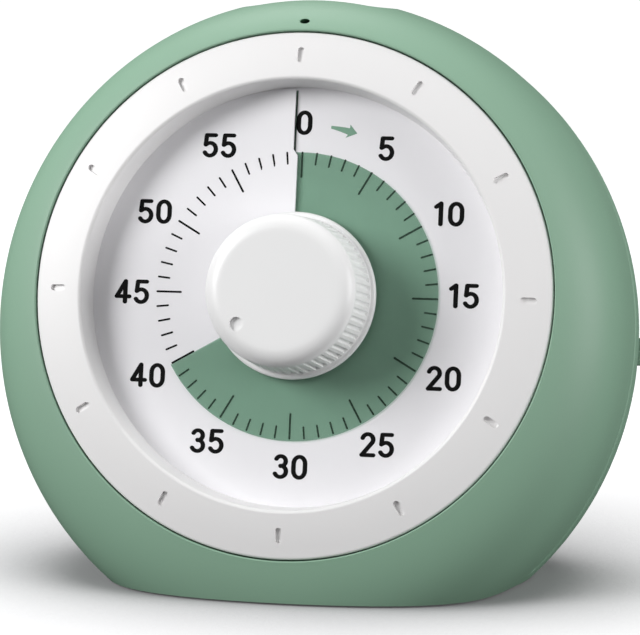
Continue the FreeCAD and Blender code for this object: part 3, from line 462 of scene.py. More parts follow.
def moulded(name, colour, roughness, grain, depth, mottle=0.025, specular=0.5):
    """A moulded plastic: even colour with the faintest cloud, and a spark-eroded grain
    whose spots are grain millimetres wide and depth millimetres deep."""
    cloud_width, spread = 14, 0.05
    material, tree = fresh(name)
    place = add_node(tree, "TexCoord").outputs["Object"]
    cloud = add_node(tree, "TexNoise", {"Vector": place, "Scale": 1 / (cloud_width * MM),
                                        "Detail": 3.0})
    paler = opaque(min(1.0, x * (1 + mottle)) for x in colour)
    darker = opaque(x * (1 - mottle) for x in colour)
    tint = add_node(tree, "Mix", {0: cloud.outputs["Fac"], 6: darker, 7: paler}, data_type="RGBA")
    speck = add_node(tree, "TexNoise", {"Vector": place, "Scale": 1 / (grain * MM), "Detail": 2.0})
    gloss = add_node(tree, "MapRange", {"Value": speck.outputs["Fac"], "From Min": 0.3,
                                        "From Max": 0.7, "To Min": roughness - spread,
                                        "To Max": roughness + spread})
    bump = add_node(tree, "Bump", {"Height": speck.outputs["Fac"], "Strength": 1.0,
                                   "Distance": depth * MM})
    surface = add_node(tree, "BsdfPrincipled",
                       {"Base Color": tint.outputs[2], "Roughness": gloss.outputs[0],
                        "Normal": bump.outputs["Normal"], "IOR": 1.53,
                        "Specular IOR Level": specular})
    add_node(tree, "OutputMaterial", {"Surface": surface.outputs[0]})
    return material


# The plastics that are seen: name, roughness, width and depth of the grain in mm, and mottle.
PLASTICS = {
    # Injection-moulded ABS from a spark-eroded tool: matt.
    "shell": ("moulded_abs_sage", 0.52, 0.22, 0.010, 0.025),
    # The same from a finely blasted tool: satin white.
    "ring": ("moulded_abs_white_satin", 0.42, 0.16, 0.004, 0.01),
    # A little smoother, so that the knob's shoulder catches the light.
    "knob": ("moulded_abs_white_fine", 0.36, 0.14, 0.003, 0.008),
    # Sheet polystyrene with a matt face that takes the print.
    "dial": ("matt_polystyrene_sheet", 0.6, 0.3, 0.002, 0.008),
}


def plastic(scene, part):
    name, *finish = PLASTICS[part]
    return moulded(name, tuple(getattr(scene.timer_colours, part)), *finish)


def printed_ink(name, colour):
    """Pad-printed ink: dense and dull, laid on thinly."""
    return moulded(name, colour, 0.7, 0.12, 0.001, 0.04, specular=0.12)


def tinted_film(colours):
    """Cast vinyl film tinted green: it colours the dial under it and leaves the marks black."""
    # Light crosses the film's two faces on its way in and again on its way out.
    faces_crossed, cloud_width, mottle, skin_share = 4, 6, 0.01, 0.10
    once = [(x / y) ** (1 / faces_crossed) for x, y in zip(colours.film, colours.dial)]
    paler = opaque(min(1.0, x * (1 + mottle)) for x in once)
    material, tree = fresh("cast_vinyl_film_tinted")
    place = add_node(tree, "TexCoord").outputs["Object"]
    cloud = add_node(tree, "TexNoise", {"Vector": place, "Scale": 1 / (cloud_width * MM),
                                        "Detail": 2.0})
    tint = add_node(tree, "Mix", {0: cloud.outputs["Fac"], 6: opaque(once), 7: paler},
                    data_type="RGBA")
    through = add_node(tree, "BsdfTransparent", {"Color": tint.outputs[2]})
    skin = add_node(tree, "BsdfPrincipled",
                    {"Base Color": opaque(colours.film), "Roughness": 0.35, "IOR": 1.5})
    both = add_node(tree, "MixShader", {0: skin_share, 1: through.outputs[0], 2: skin.outputs[0]})
    add_node(tree, "OutputMaterial", {"Surface": both.outputs[0]})
    return material


def metal(name, colour, roughness, grain, stretch=(1.0, 1.0, 1.0)):
    """A bare or plated metal with fine working marks."""
    mark_depth, smoother, rougher = 0.002, 0.08, 0.10
    material, tree = fresh(name)
    place = add_node(tree, "TexCoord").outputs["Object"]
    drawn = add_node(tree, "Mapping", {"Vector": place, "Scale": stretch})
    marks = add_node(tree, "TexNoise", {"Vector": drawn.outputs[0], "Scale": 1 / (grain * MM),
                                        "Detail": 4.0})
    gloss = add_node(tree, "MapRange", {"Value": marks.outputs["Fac"],
                                        "To Min": roughness - smoother,
                                        "To Max": roughness + rougher})
    bump = add_node(tree, "Bump", {"Height": marks.outputs["Fac"], "Distance": mark_depth * MM})
    surface = add_node(tree, "BsdfPrincipled",
                       {"Base Color": opaque(colour), "Metallic": 1.0,
                        "Roughness": gloss.outputs[0], "Normal": bump.outputs["Normal"]})
    add_node(tree, "OutputMaterial", {"Surface": surface.outputs[0]})
    return material


# Pieces

class TimerStep:
    """What the building steps share: each builds its pieces from the scene's settings."""

    def execute(self, context):
        self.build(context.scene)
        return {"FINISHED"}


class TIMER_OT_front_shell(TimerStep, bpy.types.Operator):
    """Build the green front shell with its rounded lip, scoop and sound hole"""
    bl_idname = "timer.front_shell"
    bl_label = "Front Shell"

    def build(self, scene):
        c, r = scene.timer_case, scene.timer_ring
        past = 1.5              # how far the seat reaches into the hollow
        hole_back, hole_front = -8.7, 4.3
        lip_turn = math.atan(case_slope(c, r.edge_out))
        centre_z = lip_centre(c, r.edge_out, lip_turn)
        lip = arc((c.well_radius + c.lip_round, centre_z), c.lip_round,
                  90 - math.degrees(lip_turn), 180, 8)
        end = lip[0][1]
        s = c.seam_round
        outer = [case_loop(c, r.edge_out, -c.seam_depth, s)]
        for turn in (22.5, 45, 67.5):
            inset = s * (1 - math.sin(math.radians(turn)))
            z = -c.seam_depth + s * (1 - math.cos(math.radians(turn)))
            outer.append(case_loop(c, r.edge_out, z, inset))
        outer += [case_loop(c, r.edge_out, z) for z in front_depths(c, end, 0.0, 40)
                  if z > -c.seam_depth + s]
        seat = [(c.well_radius, RING_SEAT), (DIAL_REBATE, RING_SEAT), (DIAL_REBATE, REBATE_FLOOR),
                (SEAT_OPENING, REBATE_FLOOR), (SEAT_OPENING, HOLLOW_FRONT - past)]
        outer += [(q, q, 0.0, z) for q, z in lip[1:] + seat]
        body = cut_at_base(stacked(outer), c.base_clear)
        cavity = [case_loop(c, r.edge_out, z, c.wall)
                  for z in front_depths(c, HOLLOW_FRONT, c.wall, 14)]
        hollow = cut_at_base(stacked([moved_back(cavity[0], 1.0)] + cavity),
                             c.base_clear + c.base_wall)
        hole = rod(1.0, hole_back, hole_front)
        scaled(hole, c.hole_half_width, c.hole_half_height, 1.0)
        moved(hole, 0, c.well_radius + c.hole_rise, 0)
        body = carved(body, [hollow, hole, scoop_tool(c, r.edge_out)])
        bmesh.ops.dissolve_degenerate(body, edges=body.edges, dist=1e-4)
        finished(body, "front_shell_skin", "case", plastic(scene, "shell"), 28.0,
                 ("front_shell",))


def case_slope(c, z):
    """Fall of the case's profile per millimetre outwards at depth z."""
    step = 0.02
    return 2 * step / (case_radius(c, z - step) - case_radius(c, z + step))


def lip_centre(c, edge_out, turn):
    """Height of the centre of the lip's rounding, tangent to the case."""
    reach = case_radius(c, edge_out) - c.well_radius
    return edge_out - (c.lip_round + math.sin(turn) * (c.lip_round - reach)) / math.cos(turn)


def moved_back(loop, distance):
    """The same oval loop further back."""
    return loop[:3] + (loop[3] - distance,)


def scoop_tool(c, edge_out):
    """A layer of the skin across the top, with rounded corners."""
    front, back, corner, tall, middle, behind, ahead = -2.6, -30.0, 4.0, 40.0, 45.0, 20.0, 0.5
    bm = bmesh.new()
    bmesh.ops.create_cube(bm, size=1.0)
    scaled(bm, 2 * c.scoop_half, tall, front - back)
    moved(bm, 0, middle, (front + back) / 2)
    upright = [e for e in bm.edges if abs(e.verts[0].co.y - e.verts[1].co.y) > 1]
    bmesh.ops.bevel(bm, geom=upright, offset=corner, segments=10, profile=0.5, affect="EDGES",
                    material=-1)
    loops = [case_loop(c, edge_out, z, c.scoop_depth)
             for z in front_depths(c, edge_out - c.scoop_depth - ahead, c.scoop_depth, 40)]
    return carved(bm, [stacked([moved_back(loops[0], behind)] + loops)])


class TIMER_OT_rear_shell(TimerStep, bpy.types.Operator):
    """Dress the rear shell, the battery door and the side switch's slider"""
    bl_idname = "timer.rear_shell"
    bl_label = "Rear Shell, Door and Slider"

    def build(self, scene):
        green = plastic(scene, "shell")
        for node_name, body in (("rear_shell", "case"), ("battery_door", "door"),
                                ("switch_slider", "sound_switch")):
            piece = dressed(copy_of(node_name, node_name + "_skin"), body, green,
                            18.0, (node_name,))
            # Large facets lead the shading, so that thin ones beside a cut show less.
            even = piece.modifiers.new("even_shading", "WEIGHTED_NORMAL")
            even.keep_sharp = True
            even.weight = 100


class TIMER_OT_ring(TimerStep, bpy.types.Operator):
    """Turn the white ring and cut its twelve marker slots"""
    bl_idname = "timer.ring"
    bl_label = "White Ring"

    def build(self, scene):
        r = scene.timer_ring
        inner, outer, slope = ring_face_ends(r)
        tangent = 90 - math.degrees(slope)
        channel_outer, channel_inner, channel_top = 35.4, 32.6, 1.9
        points = [(r.opening, 0.0), (r.opening + r.draft * 0.5, r.face_out * 0.45)]
        points += arc((inner, r.face_out - r.lip_round), r.lip_round, 180, tangent, 14)
        steps = 12
        for i in range(1, steps):
            x = inner + (outer - inner) * i / steps
            points.append((x, ring_face(r, x)))
        points += arc((outer, r.edge_out - r.edge_round), r.edge_round, tangent, 0, 10)
        points += [(r.radius, RING_SEAT), (channel_outer, RING_SEAT), (channel_outer, channel_top),
                   (channel_inner, channel_top), (channel_inner, RING_SEAT),
                   (DIAL_REBATE, RING_SEAT), (DIAL_REBATE, 0.0)]
        body = turned(points, 288)
        tools = [slot_tool(r, 360.0 * i / r.slot_count) for i in range(r.slot_count)]
        body = carved(body, tools)
        finished(body, "white_ring", "case", plastic(scene, "ring"), 32.0,
                 ("bezel_ring",))


def ring_face_ends(r):
    """Inner and outer radius of the ring's sloped face, and its slope."""
    inner, outer = r.opening + r.draft + r.lip_round, r.radius - r.edge_round
    return inner, outer, math.atan((r.face_out - r.edge_out) / (outer - inner))


def ring_face(r, x):
    """Front of the ring at a radius: a shallow cone with a little camber."""
    inner, outer, slope = ring_face_ends(r)
    share = (x - inner) / (outer - inner)
    return r.face_out - (x - inner) * math.tan(slope) + r.camber * 4 * share * (1 - share)


def slot_tool(r, angle):
    """A round-ended slot, square to the ring's face."""
    half = (r.slot_length - r.slot_width) / 2
    outline = stroke([(0.0, -half), (0.0, half)], r.slot_width / 2, 12)
    bm = bmesh.new()
    print_layer(bm, outline, -r.slot_depth, 2.0)
    swung(bm, -ring_face_ends(r)[2], "X")
    moved(bm, 0, r.slot_centre, ring_face(r, r.slot_centre))
    swung(bm, math.radians(-angle), "Z")
    return bm


class TIMER_OT_dial(TimerStep, bpy.types.Operator):
    """Build the white dial plate with its lifted lip along the slit"""
    bl_idname = "timer.dial"
    bl_label = "Dial Plate"

    def build(self, scene):
        d = scene.timer_dial
        points = [(d.hole, -d.thickness), (d.radius, -d.thickness), (d.radius, 0.0), (d.hole, 0.0)]
        disc = turned(points)
        disc = carved(disc, [slit_gap(d)])
        body = carved(disc, [lip_flap(d)], "UNION")
        finished(body, "dial_face", "case", plastic(scene, "dial"), 24.0,
                 ("dial_plate",))


def slit_gap(d):
    """The area that the lifted lip takes up, closed by the slit's round end."""
    left, right, steps, half_height = -d.lip_start, -d.slit_edge, 8, 2.0
    points = [(left, 0.0), (right, 0.0)]
    for i in range(steps + 1):
        x = right + (left - right) * i / steps
        points.append((x, math.sqrt(SLIT_REACH ** 2 - x ** 2)))
    bm = bmesh.new()
    print_layer(bm, points, -half_height, half_height)
    return bm


def lip_height(d, x):
    """Height of the lifted lip at a place left of the 0."""
    share = max(0.0, (x + d.lip_start) / (d.lip_start + LIP_INNER_EDGE))
    return d.lip_rise * share ** LIP_CURVE


def lip_flap(d):
    """The lifted strip left of the slit: it rises to the slit's edge in an even curve."""
    bm = bmesh.new()
    steps, jog, jog_run, overlap = 18, 20.85, 0.9, 0.4      # the lip is narrower beyond the jog
    rows = []
    start = -d.lip_start - overlap
    thickness = d.thickness - 0.2
    for i in range(steps + 1):
        row = []
        for edge, ys in ((LIP_INNER_EDGE, (0.0, 5.0, 10.0, 15.0, jog - jog_run)),
                         (LIP_OUTER_EDGE, (jog, 24.0, 27.0, None))):
            x = start + (edge - start) * (i / steps)
            z = lip_height(d, x)
            for y in ys:
                row.append((x, math.sqrt(SLIT_REACH ** 2 - x ** 2) if y is None else y, z))
        rows.append(row)
    grid = [[bm.verts.new(p) for p in row] for row in rows]
    for a, b in zip(grid, grid[1:]):
        for i in range(len(a) - 1):
            bm.faces.new((a[i], b[i], b[i + 1], a[i + 1]))
    thickened(bm, list(bm.faces), -thickness)
    return bm


def arc_line(cx, cy, rx, ry, start, end, steps):
    """Points along an oval arc, angles in degrees."""
    return [(cx + rx * math.cos(math.radians(start + (end - start) * i / steps)),
             cy + ry * math.sin(math.radians(start + (end - start) * i / steps)))
            for i in range(steps + 1)]


# Each numeral's width and centre lines, in a box one high with the strokes' ends on its edges.
GLYPHS = {
    "0": (0.56, [arc_line(0, 0.16, 0.28, 0.34, 0, 180, 20)
                 + arc_line(0, -0.16, 0.28, 0.34, 180, 360, 20) + [(0.28, 0.16)]]),
    "1": (0.34, [[(-0.17, 0.33), (0.06, 0.5)], [(0.06, 0.5), (0.06, -0.5)]]),
    "2": (0.56, [arc_line(0, 0.24, 0.26, 0.26, 165, -28, 16) + [(-0.27, -0.5)],
                 [(-0.27, -0.5), (0.29, -0.5)]]),
    "3": (0.55, [arc_line(-0.01, 0.26, 0.24, 0.24, 155, -90, 16),
                 arc_line(-0.02, -0.23, 0.28, 0.27, 90, -155, 18)]),
    "4": (0.62, [[(0.12, 0.5), (-0.3, -0.24)], [(-0.3, -0.24), (0.33, -0.24)],
                 [(0.12, 0.5), (0.12, -0.5)]]),
    "5": (0.56, [[(0.24, 0.5), (-0.2, 0.5)], [(-0.2, 0.5), (-0.24, 0.03)],
                 [(-0.24, 0.03)] + arc_line(-0.02, -0.19, 0.29, 0.31, 118, -150, 20)]),
}
# Centre of each number on the dial, mm; the printed circle isn't quite even.
NUMBER_PLACES = {
    0: (0.09, 24.69), 5: (12.10, 21.21), 10: (21.41, 12.18), 15: (24.03, 0.72),
    20: (21.64, -10.90), 25: (12.61, -20.49), 30: (0.30, -24.04), 35: (-11.91, -20.85),
    40: (-21.11, -11.81), 45: (-24.00, 0.03), 50: (-21.19, 11.58), 55: (-12.14, 21.22),
}
PEN_SQUEEZE = 0.86          # horizontal strokes are thinner than upright ones
PEN_SPREAD = 1.04           # widening of the numerals
NUMBER_GAP = 0.12           # space between two numerals, as a share of their height
FIVE_WIDER = 1.08           # a five-minute mark's width against a minute mark's


def glyph_shape(sign, d):
    """One numeral as a thin solid about its own centre."""
    width, lines = GLYPHS[sign]
    half = d.stroke / 2
    tall = (d.number_height / PEN_SQUEEZE - d.stroke)
    wide = d.number_height - d.stroke
    parts = []
    for line in lines:
        points = [(x * wide * PEN_SPREAD, y * tall) for x, y in line]
        bm = bmesh.new()
        if math.dist(points[0], points[-1]) < 1e-3:
            ring_print(bm, points[:-1], half, d.print_height)
        else:
            print_layer(bm, stroke(points, half, 10), 0.0, d.print_height)
        parts.append(bm)
    shape = parts[0] if len(parts) == 1 else carved(parts[0], parts[1:], "UNION")
    scaled(shape, 1.0, PEN_SQUEEZE, 1.0)
    return width * wide + d.stroke, shape


def ring_print(bm, points, half, height):
    """A closed stroke, such as a 0."""
    count = len(points)
    sides = []
    for sign in (1, -1):
        side = []
        for i, (x, y) in enumerate(points):
            before, after = points[i - 1], points[(i + 1) % count]
            dx, dy = after[0] - before[0], after[1] - before[1]
            length = math.hypot(dx, dy)
            side.append(bm.verts.new((x - dy / length * half * sign, y + dx / length * half * sign, 0)))
        sides.append(side)
    loops = [[bm.edges.new((s[i], s[(i + 1) % count])) for i in range(count)] for s in sides]
    thickened(bm, bmesh.ops.bridge_loops(bm, edges=loops[0] + loops[1])["faces"], height)


def clock(radius, angle):
    """A point on the dial at a clock angle in degrees."""
    turn = math.radians(angle)
    return radius * math.sin(turn), radius * math.cos(turn)


class TIMER_OT_prints(TimerStep, bpy.types.Operator):
    """Print the minute marks, the numbers and the arrow on the dial"""
    bl_idname = "timer.prints"
    bl_label = "Dial Prints"

    def build(self, scene):
        d, colours = scene.timer_dial, scene.timer_colours
        ink = printed_ink("pad_print_black", tuple(colours.ink))
        marks = bmesh.new()
        for minute in range(60):
            angle = minute * 6.0
            length = d.minute_length if minute % 5 else d.five_length
            half = d.mark_width / 2 * (1.0 if minute % 5 else FIVE_WIDER)
            ends = [clock(d.mark_outer - half, angle), clock(d.mark_outer - length + half, angle)]
            line = [(x, y + d.mark_rise) for x, y in ends]
            base = self.floor_at(d, line)
            print_layer(marks, stroke(line, half, 5), base, base + d.print_height)
        finished(marks, "minute_marks", "case", ink, 40.0)
        numbers = bmesh.new()
        for minute, (x, y) in NUMBER_PLACES.items():
            signs = [glyph_shape(s, d) for s in str(minute)]
            gap = NUMBER_GAP * d.number_height
            total = sum(w for w, shape in signs) + gap * (len(signs) - 1)
            left = x - total / 2
            for width, shape in signs:
                moved(shape, left + width / 2, y, 0)
                left += width + gap
                joined_in(numbers, shape)
        finished(numbers, "dial_numbers", "case", ink, 40.0)
        arrow = bmesh.new()
        print_layer(arrow, arrow_outline(), 0.0, d.print_height)
        finished(arrow, "dial_arrow", "case",
                 printed_ink("pad_print_green", tuple(colours.arrow)), 40.0)

    def floor_at(self, d, line):
        """Height of the dial under a mark: those on the lifted lip stand higher."""
        x = (line[0][0] + line[1][0]) / 2
        if line[0][1] < 0 or x > LIP_INNER_EDGE or x < -d.lip_start:
            return 0.0
        return lip_height(d, x)


def joined_in(target, extra):
    """Adds one bmesh to another."""
    mesh = bpy.data.meshes.new("work")
    extra.to_mesh(mesh)
    extra.free()
    target.from_mesh(mesh)
    bpy.data.meshes.remove(mesh)


def arrow_outline():
    """A curved arrow that points clockwise beside the 0."""
    radius, tail, neck, tip = 24.45, 9.4, 15.6, 18.5
    thin, growth, barb, steps = 0.2, 0.28, 1.0, 8
    upper, lower = [], []
    for i in range(steps + 1):
        angle = tail + (neck - tail) * i / steps
        half = thin + growth * i / steps
        upper.append(clock(radius + half, angle))
        lower.append(clock(radius - half, angle))
    head = [clock(radius + barb, neck - 0.2), clock(radius + 0.1, tip),
            clock(radius - barb, neck - 0.5)]
    return upper + head + lower[::-1]


class TIMER_OT_film(TimerStep, bpy.types.Operator):
    """Lay the tinted film: a root at the slit, two sheets over the dial and a tail behind it"""
    bl_idname = "timer.film"
    bl_label = "Tinted Film"

    def build(self, scene):
        f = scene.timer_film
        film = tinted_film(scene.timer_colours)
        front, back = f.lift, -f.tail_depth
        # Each sheet runs between two clock angles. A third, where it is at rest, picks its bodies and
        # is the start given to wound.
        sheets = (("film_sheet_first", 0.0, 120.0, 0.0, front, ("film_middle_half",)),
                  ("film_sheet_second", 120.0, 240.0, 120.0, front, ("film_leading_half",)),
                  ("film_tail_first", -25.0, -60.0, 0.0, back, ("film_tail",)),
                  ("film_tail_second", -60.0, -120.0, -60.0, back, ()))
        for name, start, end, zero, low, stands_for in sheets:
            bodies = ("film_middle", "film_leading") if zero else ("case", "film_middle")
            piece = finished(sheet_sector(f, start, end, low), name, None, film,
                             40.0, stands_for)
            wound(piece, *bodies, zero, end)
        finished(root_strip(f), "film_root", "case", film, 40.0)


def sheet_sector(f, start, end, low):
    """A flat sector of the film between two clock angles."""
    bm = bmesh.new()
    steps = max(6, int(abs(end - start) / 1.5))
    x0, y0 = clock(f.inner, start)
    x1, y1 = clock(f.radius, start)
    verts = [bm.verts.new(p) for p in ((x0, y0, low), (x1, y1, low),
                                       (x1, y1, low + f.thickness), (x0, y0, low + f.thickness))]
    face = bm.faces.new(verts)
    bmesh.ops.spin(bm, geom=[face], axis=(0, 0, 1), cent=(0, 0, 0),
                   angle=-math.radians(end - start), steps=steps)
    bmesh.ops.remove_doubles(bm, verts=bm.verts, dist=1e-5)
    bmesh.ops.recalc_face_normals(bm, faces=bm.faces)
    return bm


def root_strip(f):
    """The film's fixed root: it comes up under the lip and over the slit's edge to the 0."""
    bm = bmesh.new()
    dip = ((0.0, f.lift), (-0.8, f.lift), (-1.6, f.lift), (-2.3, f.lift), (-3.0, -0.10),
           (-4.0, -0.42), (-5.0, -0.72), (-6.0, -0.93), (-7.0, -1.05), (-8.0, -f.tail_depth))
    rows = []
    for x, z in dip:
        inner = math.sqrt(max(f.inner ** 2 - x ** 2, 0.3))
        outer = math.sqrt(f.radius ** 2 - x ** 2)
        rows.append([bm.verts.new((x, inner, z)), bm.verts.new((x, outer, z))])
    for a, b in zip(rows, rows[1:]):
        bm.faces.new((a[0], a[1], b[1], b[0]))
    thickened(bm, list(bm.faces), f.thickness)
    return bm


def wound(piece, body_a, body_b, start, end):
    """Works out each vertex's share of the angle from start to end and bakes the piece's transform into
    its mesh. It then puts the vertices back at rest, so the sector keeps its shape.
    """
    mesh = piece.data
    to_dial = DIAL_FRAME.inverted()
    rest = [v.co.copy() for v in mesh.vertices]
    for v in mesh.vertices:
        p = to_dial @ v.co
        angle = math.degrees(math.atan2(p.x, p.y))
        if end > 180 and angle < 0:
            angle += 360
        share = min(1.0, max(0.0, (angle - start) / (end - start)))
        along = 0.5 - math.sin(math.asin(1 - 2 * share) / 3)
        v.co = Vector((along * 0.1, 0, 0))
    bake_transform(piece)
    for v, co in zip(mesh.vertices, rest):
        v.co = co
    mesh.update()


class TIMER_OT_knob(TimerStep, bpy.types.Operator):
    """Turn the white knob with its finger grooves and pointer dimple"""
    bl_idname = "timer.knob"
    bl_label = "Knob"

    def build(self, scene):
        k = scene.timer_knob
        per_groove, round_steps = 10, 12
        bore, bore_top, boss, boss_low = 1.5, 9.1, 3.4, k.flange_out + 0.3
        hollow_top, hollow_narrow, hollow_side, hollow_wide = 9.4, 7.6, (8.6, 7.9), 9.6
        flange_top = k.flange_out + k.flange_thickness
        edge = k.flange_thickness * 0.45
        shoulder = k.face_out - k.shoulder_drop
        width = k.shoulder_radius - k.face_radius
        points = [(boss, boss_low), (boss, hollow_top), (hollow_narrow, hollow_top), hollow_side,
                  (hollow_wide, k.flange_out)]
        points += arc((k.flange_radius - edge, k.flange_out + edge), edge, -90, 0, 6)
        points += arc((k.flange_radius - edge, flange_top - edge), edge, 0, 84, 6)
        grip_low = flange_top + 0.16
        points += [(k.foot_radius + 0.12, flange_top + 0.03), (k.foot_radius + 0.02, grip_low)]
        for rise in [0.012] + [i / round_steps for i in range(1, round_steps + 1)]:
            z = grip_low + (shoulder - grip_low) * rise
            share = (z - grip_low) / (shoulder - grip_low)
            points.append((k.foot_radius + (k.shoulder_radius - k.foot_radius) * share, z))
        for i in range(1, round_steps + 1):
            turn = math.radians(90.0 * i / round_steps)
            points.append((k.face_radius + width * math.cos(turn),
                           shoulder + k.shoulder_drop * math.sin(turn)))
        points += [(k.face_radius - 0.5, k.face_out), (4.0, k.face_out), (0.0, k.face_out)]
        points += [(0.0, bore_top), (bore, bore_top), (bore, boss_low)]
        body = turned(points, k.grooves * per_groove)
        self.cut_grooves(body, k, grip_low, shoulder)
        x, y = clock(k.dimple_centre, k.dimple_angle)
        body = carved(body, [rod(k.dimple_radius, k.face_out - k.dimple_depth, k.face_out + 1, x, y)])
        finished(body, "knob_dressed", "timer", plastic(scene, "knob"), 30.0,
                 ("control_knob",))

    def cut_grooves(self, bm, k, low, high):
        """Draws the grip's wall in along each groove, with round ends."""
        inside, half_share = 0.9, 0.52          # reach inside the shoulder, groove's half width
        end_over, end_fade, rise_least = 0.2, 0.9, 0.005
        for v in bm.verts:
            reach = math.hypot(v.co.x, v.co.y)
            if reach < k.shoulder_radius - inside or not low - 0.01 < v.co.z < high + 0.75:
                continue
            turn = math.degrees(math.atan2(v.co.y, v.co.x))
            step = 360.0 / k.grooves
            off = abs((turn / step + 0.5) % 1.0 - 0.5) * 2
            across = max(0.0, 1 - (off / half_share) ** 2)
            top_fade = min(1.0, max(0.0, (high + end_over - v.co.z) / end_fade))
            rise = (v.co.z - low) / (high - low)
            full = k.groove_foot + (k.groove_top - k.groove_foot) * min(1.0, rise)
            depth = full * math.sqrt(across) * math.sqrt(top_fade)
            if depth > 0 and rise > rise_least:
                factor = (reach - depth) / reach
                v.co.x *= factor
                v.co.y *= factor


class TIMER_OT_works(TimerStep, bpy.types.Operator):
    """Give the movement, the wheels, the battery, the contacts and the screws their finishes"""
    bl_idname = "timer.works"
    bl_label = "Inner Works and Fasteners"

    def build(self, scene):
        colours = scene.timer_colours
        acetal = moulded("moulded_acetal_natural", linear("#DAD8D0"), 0.4, 0.3, 0.002)
        black = moulded("moulded_pps_black", linear("#1B1B1C"), 0.5, 0.25, 0.006)
        grey = moulded("moulded_abs_grey", linear("#4B4C4E"), 0.5, 0.25, 0.006)
        steel = metal("zinc_plated_steel", linear("#B9BABB"), 0.32, 0.12)
        blade = metal("nickel_plated_spring_steel", linear("#C9C7C2"), 0.25, 0.2)
        copper = metal("enamelled_copper_wire", linear("#B4643A"), 0.35, 0.1, (1, 8, 1))
        ferrite = moulded("sintered_ferrite", linear("#2C2C2E"), 0.45, 0.08, 0.01)
        board = moulded("solder_masked_laminate", linear("#1F5A38"), 0.3, 0.3, 0.004)
        jacket = moulded("battery_jacket_film", linear("#3C4245"), 0.22, 0.5, 0.001)
        rubber = moulded("moulded_rubber_grey", tuple(colours.rubber), 0.75, 0.2, 0.015)
        finishes = (
            (acetal, "gear_plastic", "timer_train", ("timer_wheel",)),
            (acetal, "gear_plastic", "third_train", ("third_wheel",)),
            (acetal, "gear_plastic", "second_train", ("second_wheel",)),
            (acetal, "gear_plastic", "middle_train", ("middle_wheel",)),
            (acetal, "gear_plastic", "rotor", ("rotor_pinion",)),
            (ferrite, "magnet", "rotor", ("rotor_magnet",)),
            (steel, "steel", "timer", ("timer_spindle",)),
            (blade, "steel", "timer", ("clutch_spring",)),
            (black, "black_plastic", "timer", ("film_collar",)),
            (steel, "steel", "case", ("stator", "coil_core", "case_screws", "ring_screws",
                                      "movement_screws")),
            (blade, "steel", "case", ("positive_contact", "negative_spring")),
            (copper, "copper", "case", ("coil_winding",)),
            (board, "board", "case", ("circuit_board",)),
            (steel, "crystal_can", "case", ("quartz_crystal",)),
            (black, "black_plastic", "case", ("sounder", "switch_body")),
            (grey, "movement_plastic", "case", ("movement_front_case", "movement_back_case")),
            (jacket, "cell_jacket", "case", ("battery_cell",)),
            (rubber, "rubber_grey", "case", ("base_feet",)),
        )
        for material, slot, body, names in finishes:
            for name in names:
                dressed(copy_of(name, name + "_finished"), body, material, 30.0, (name,))


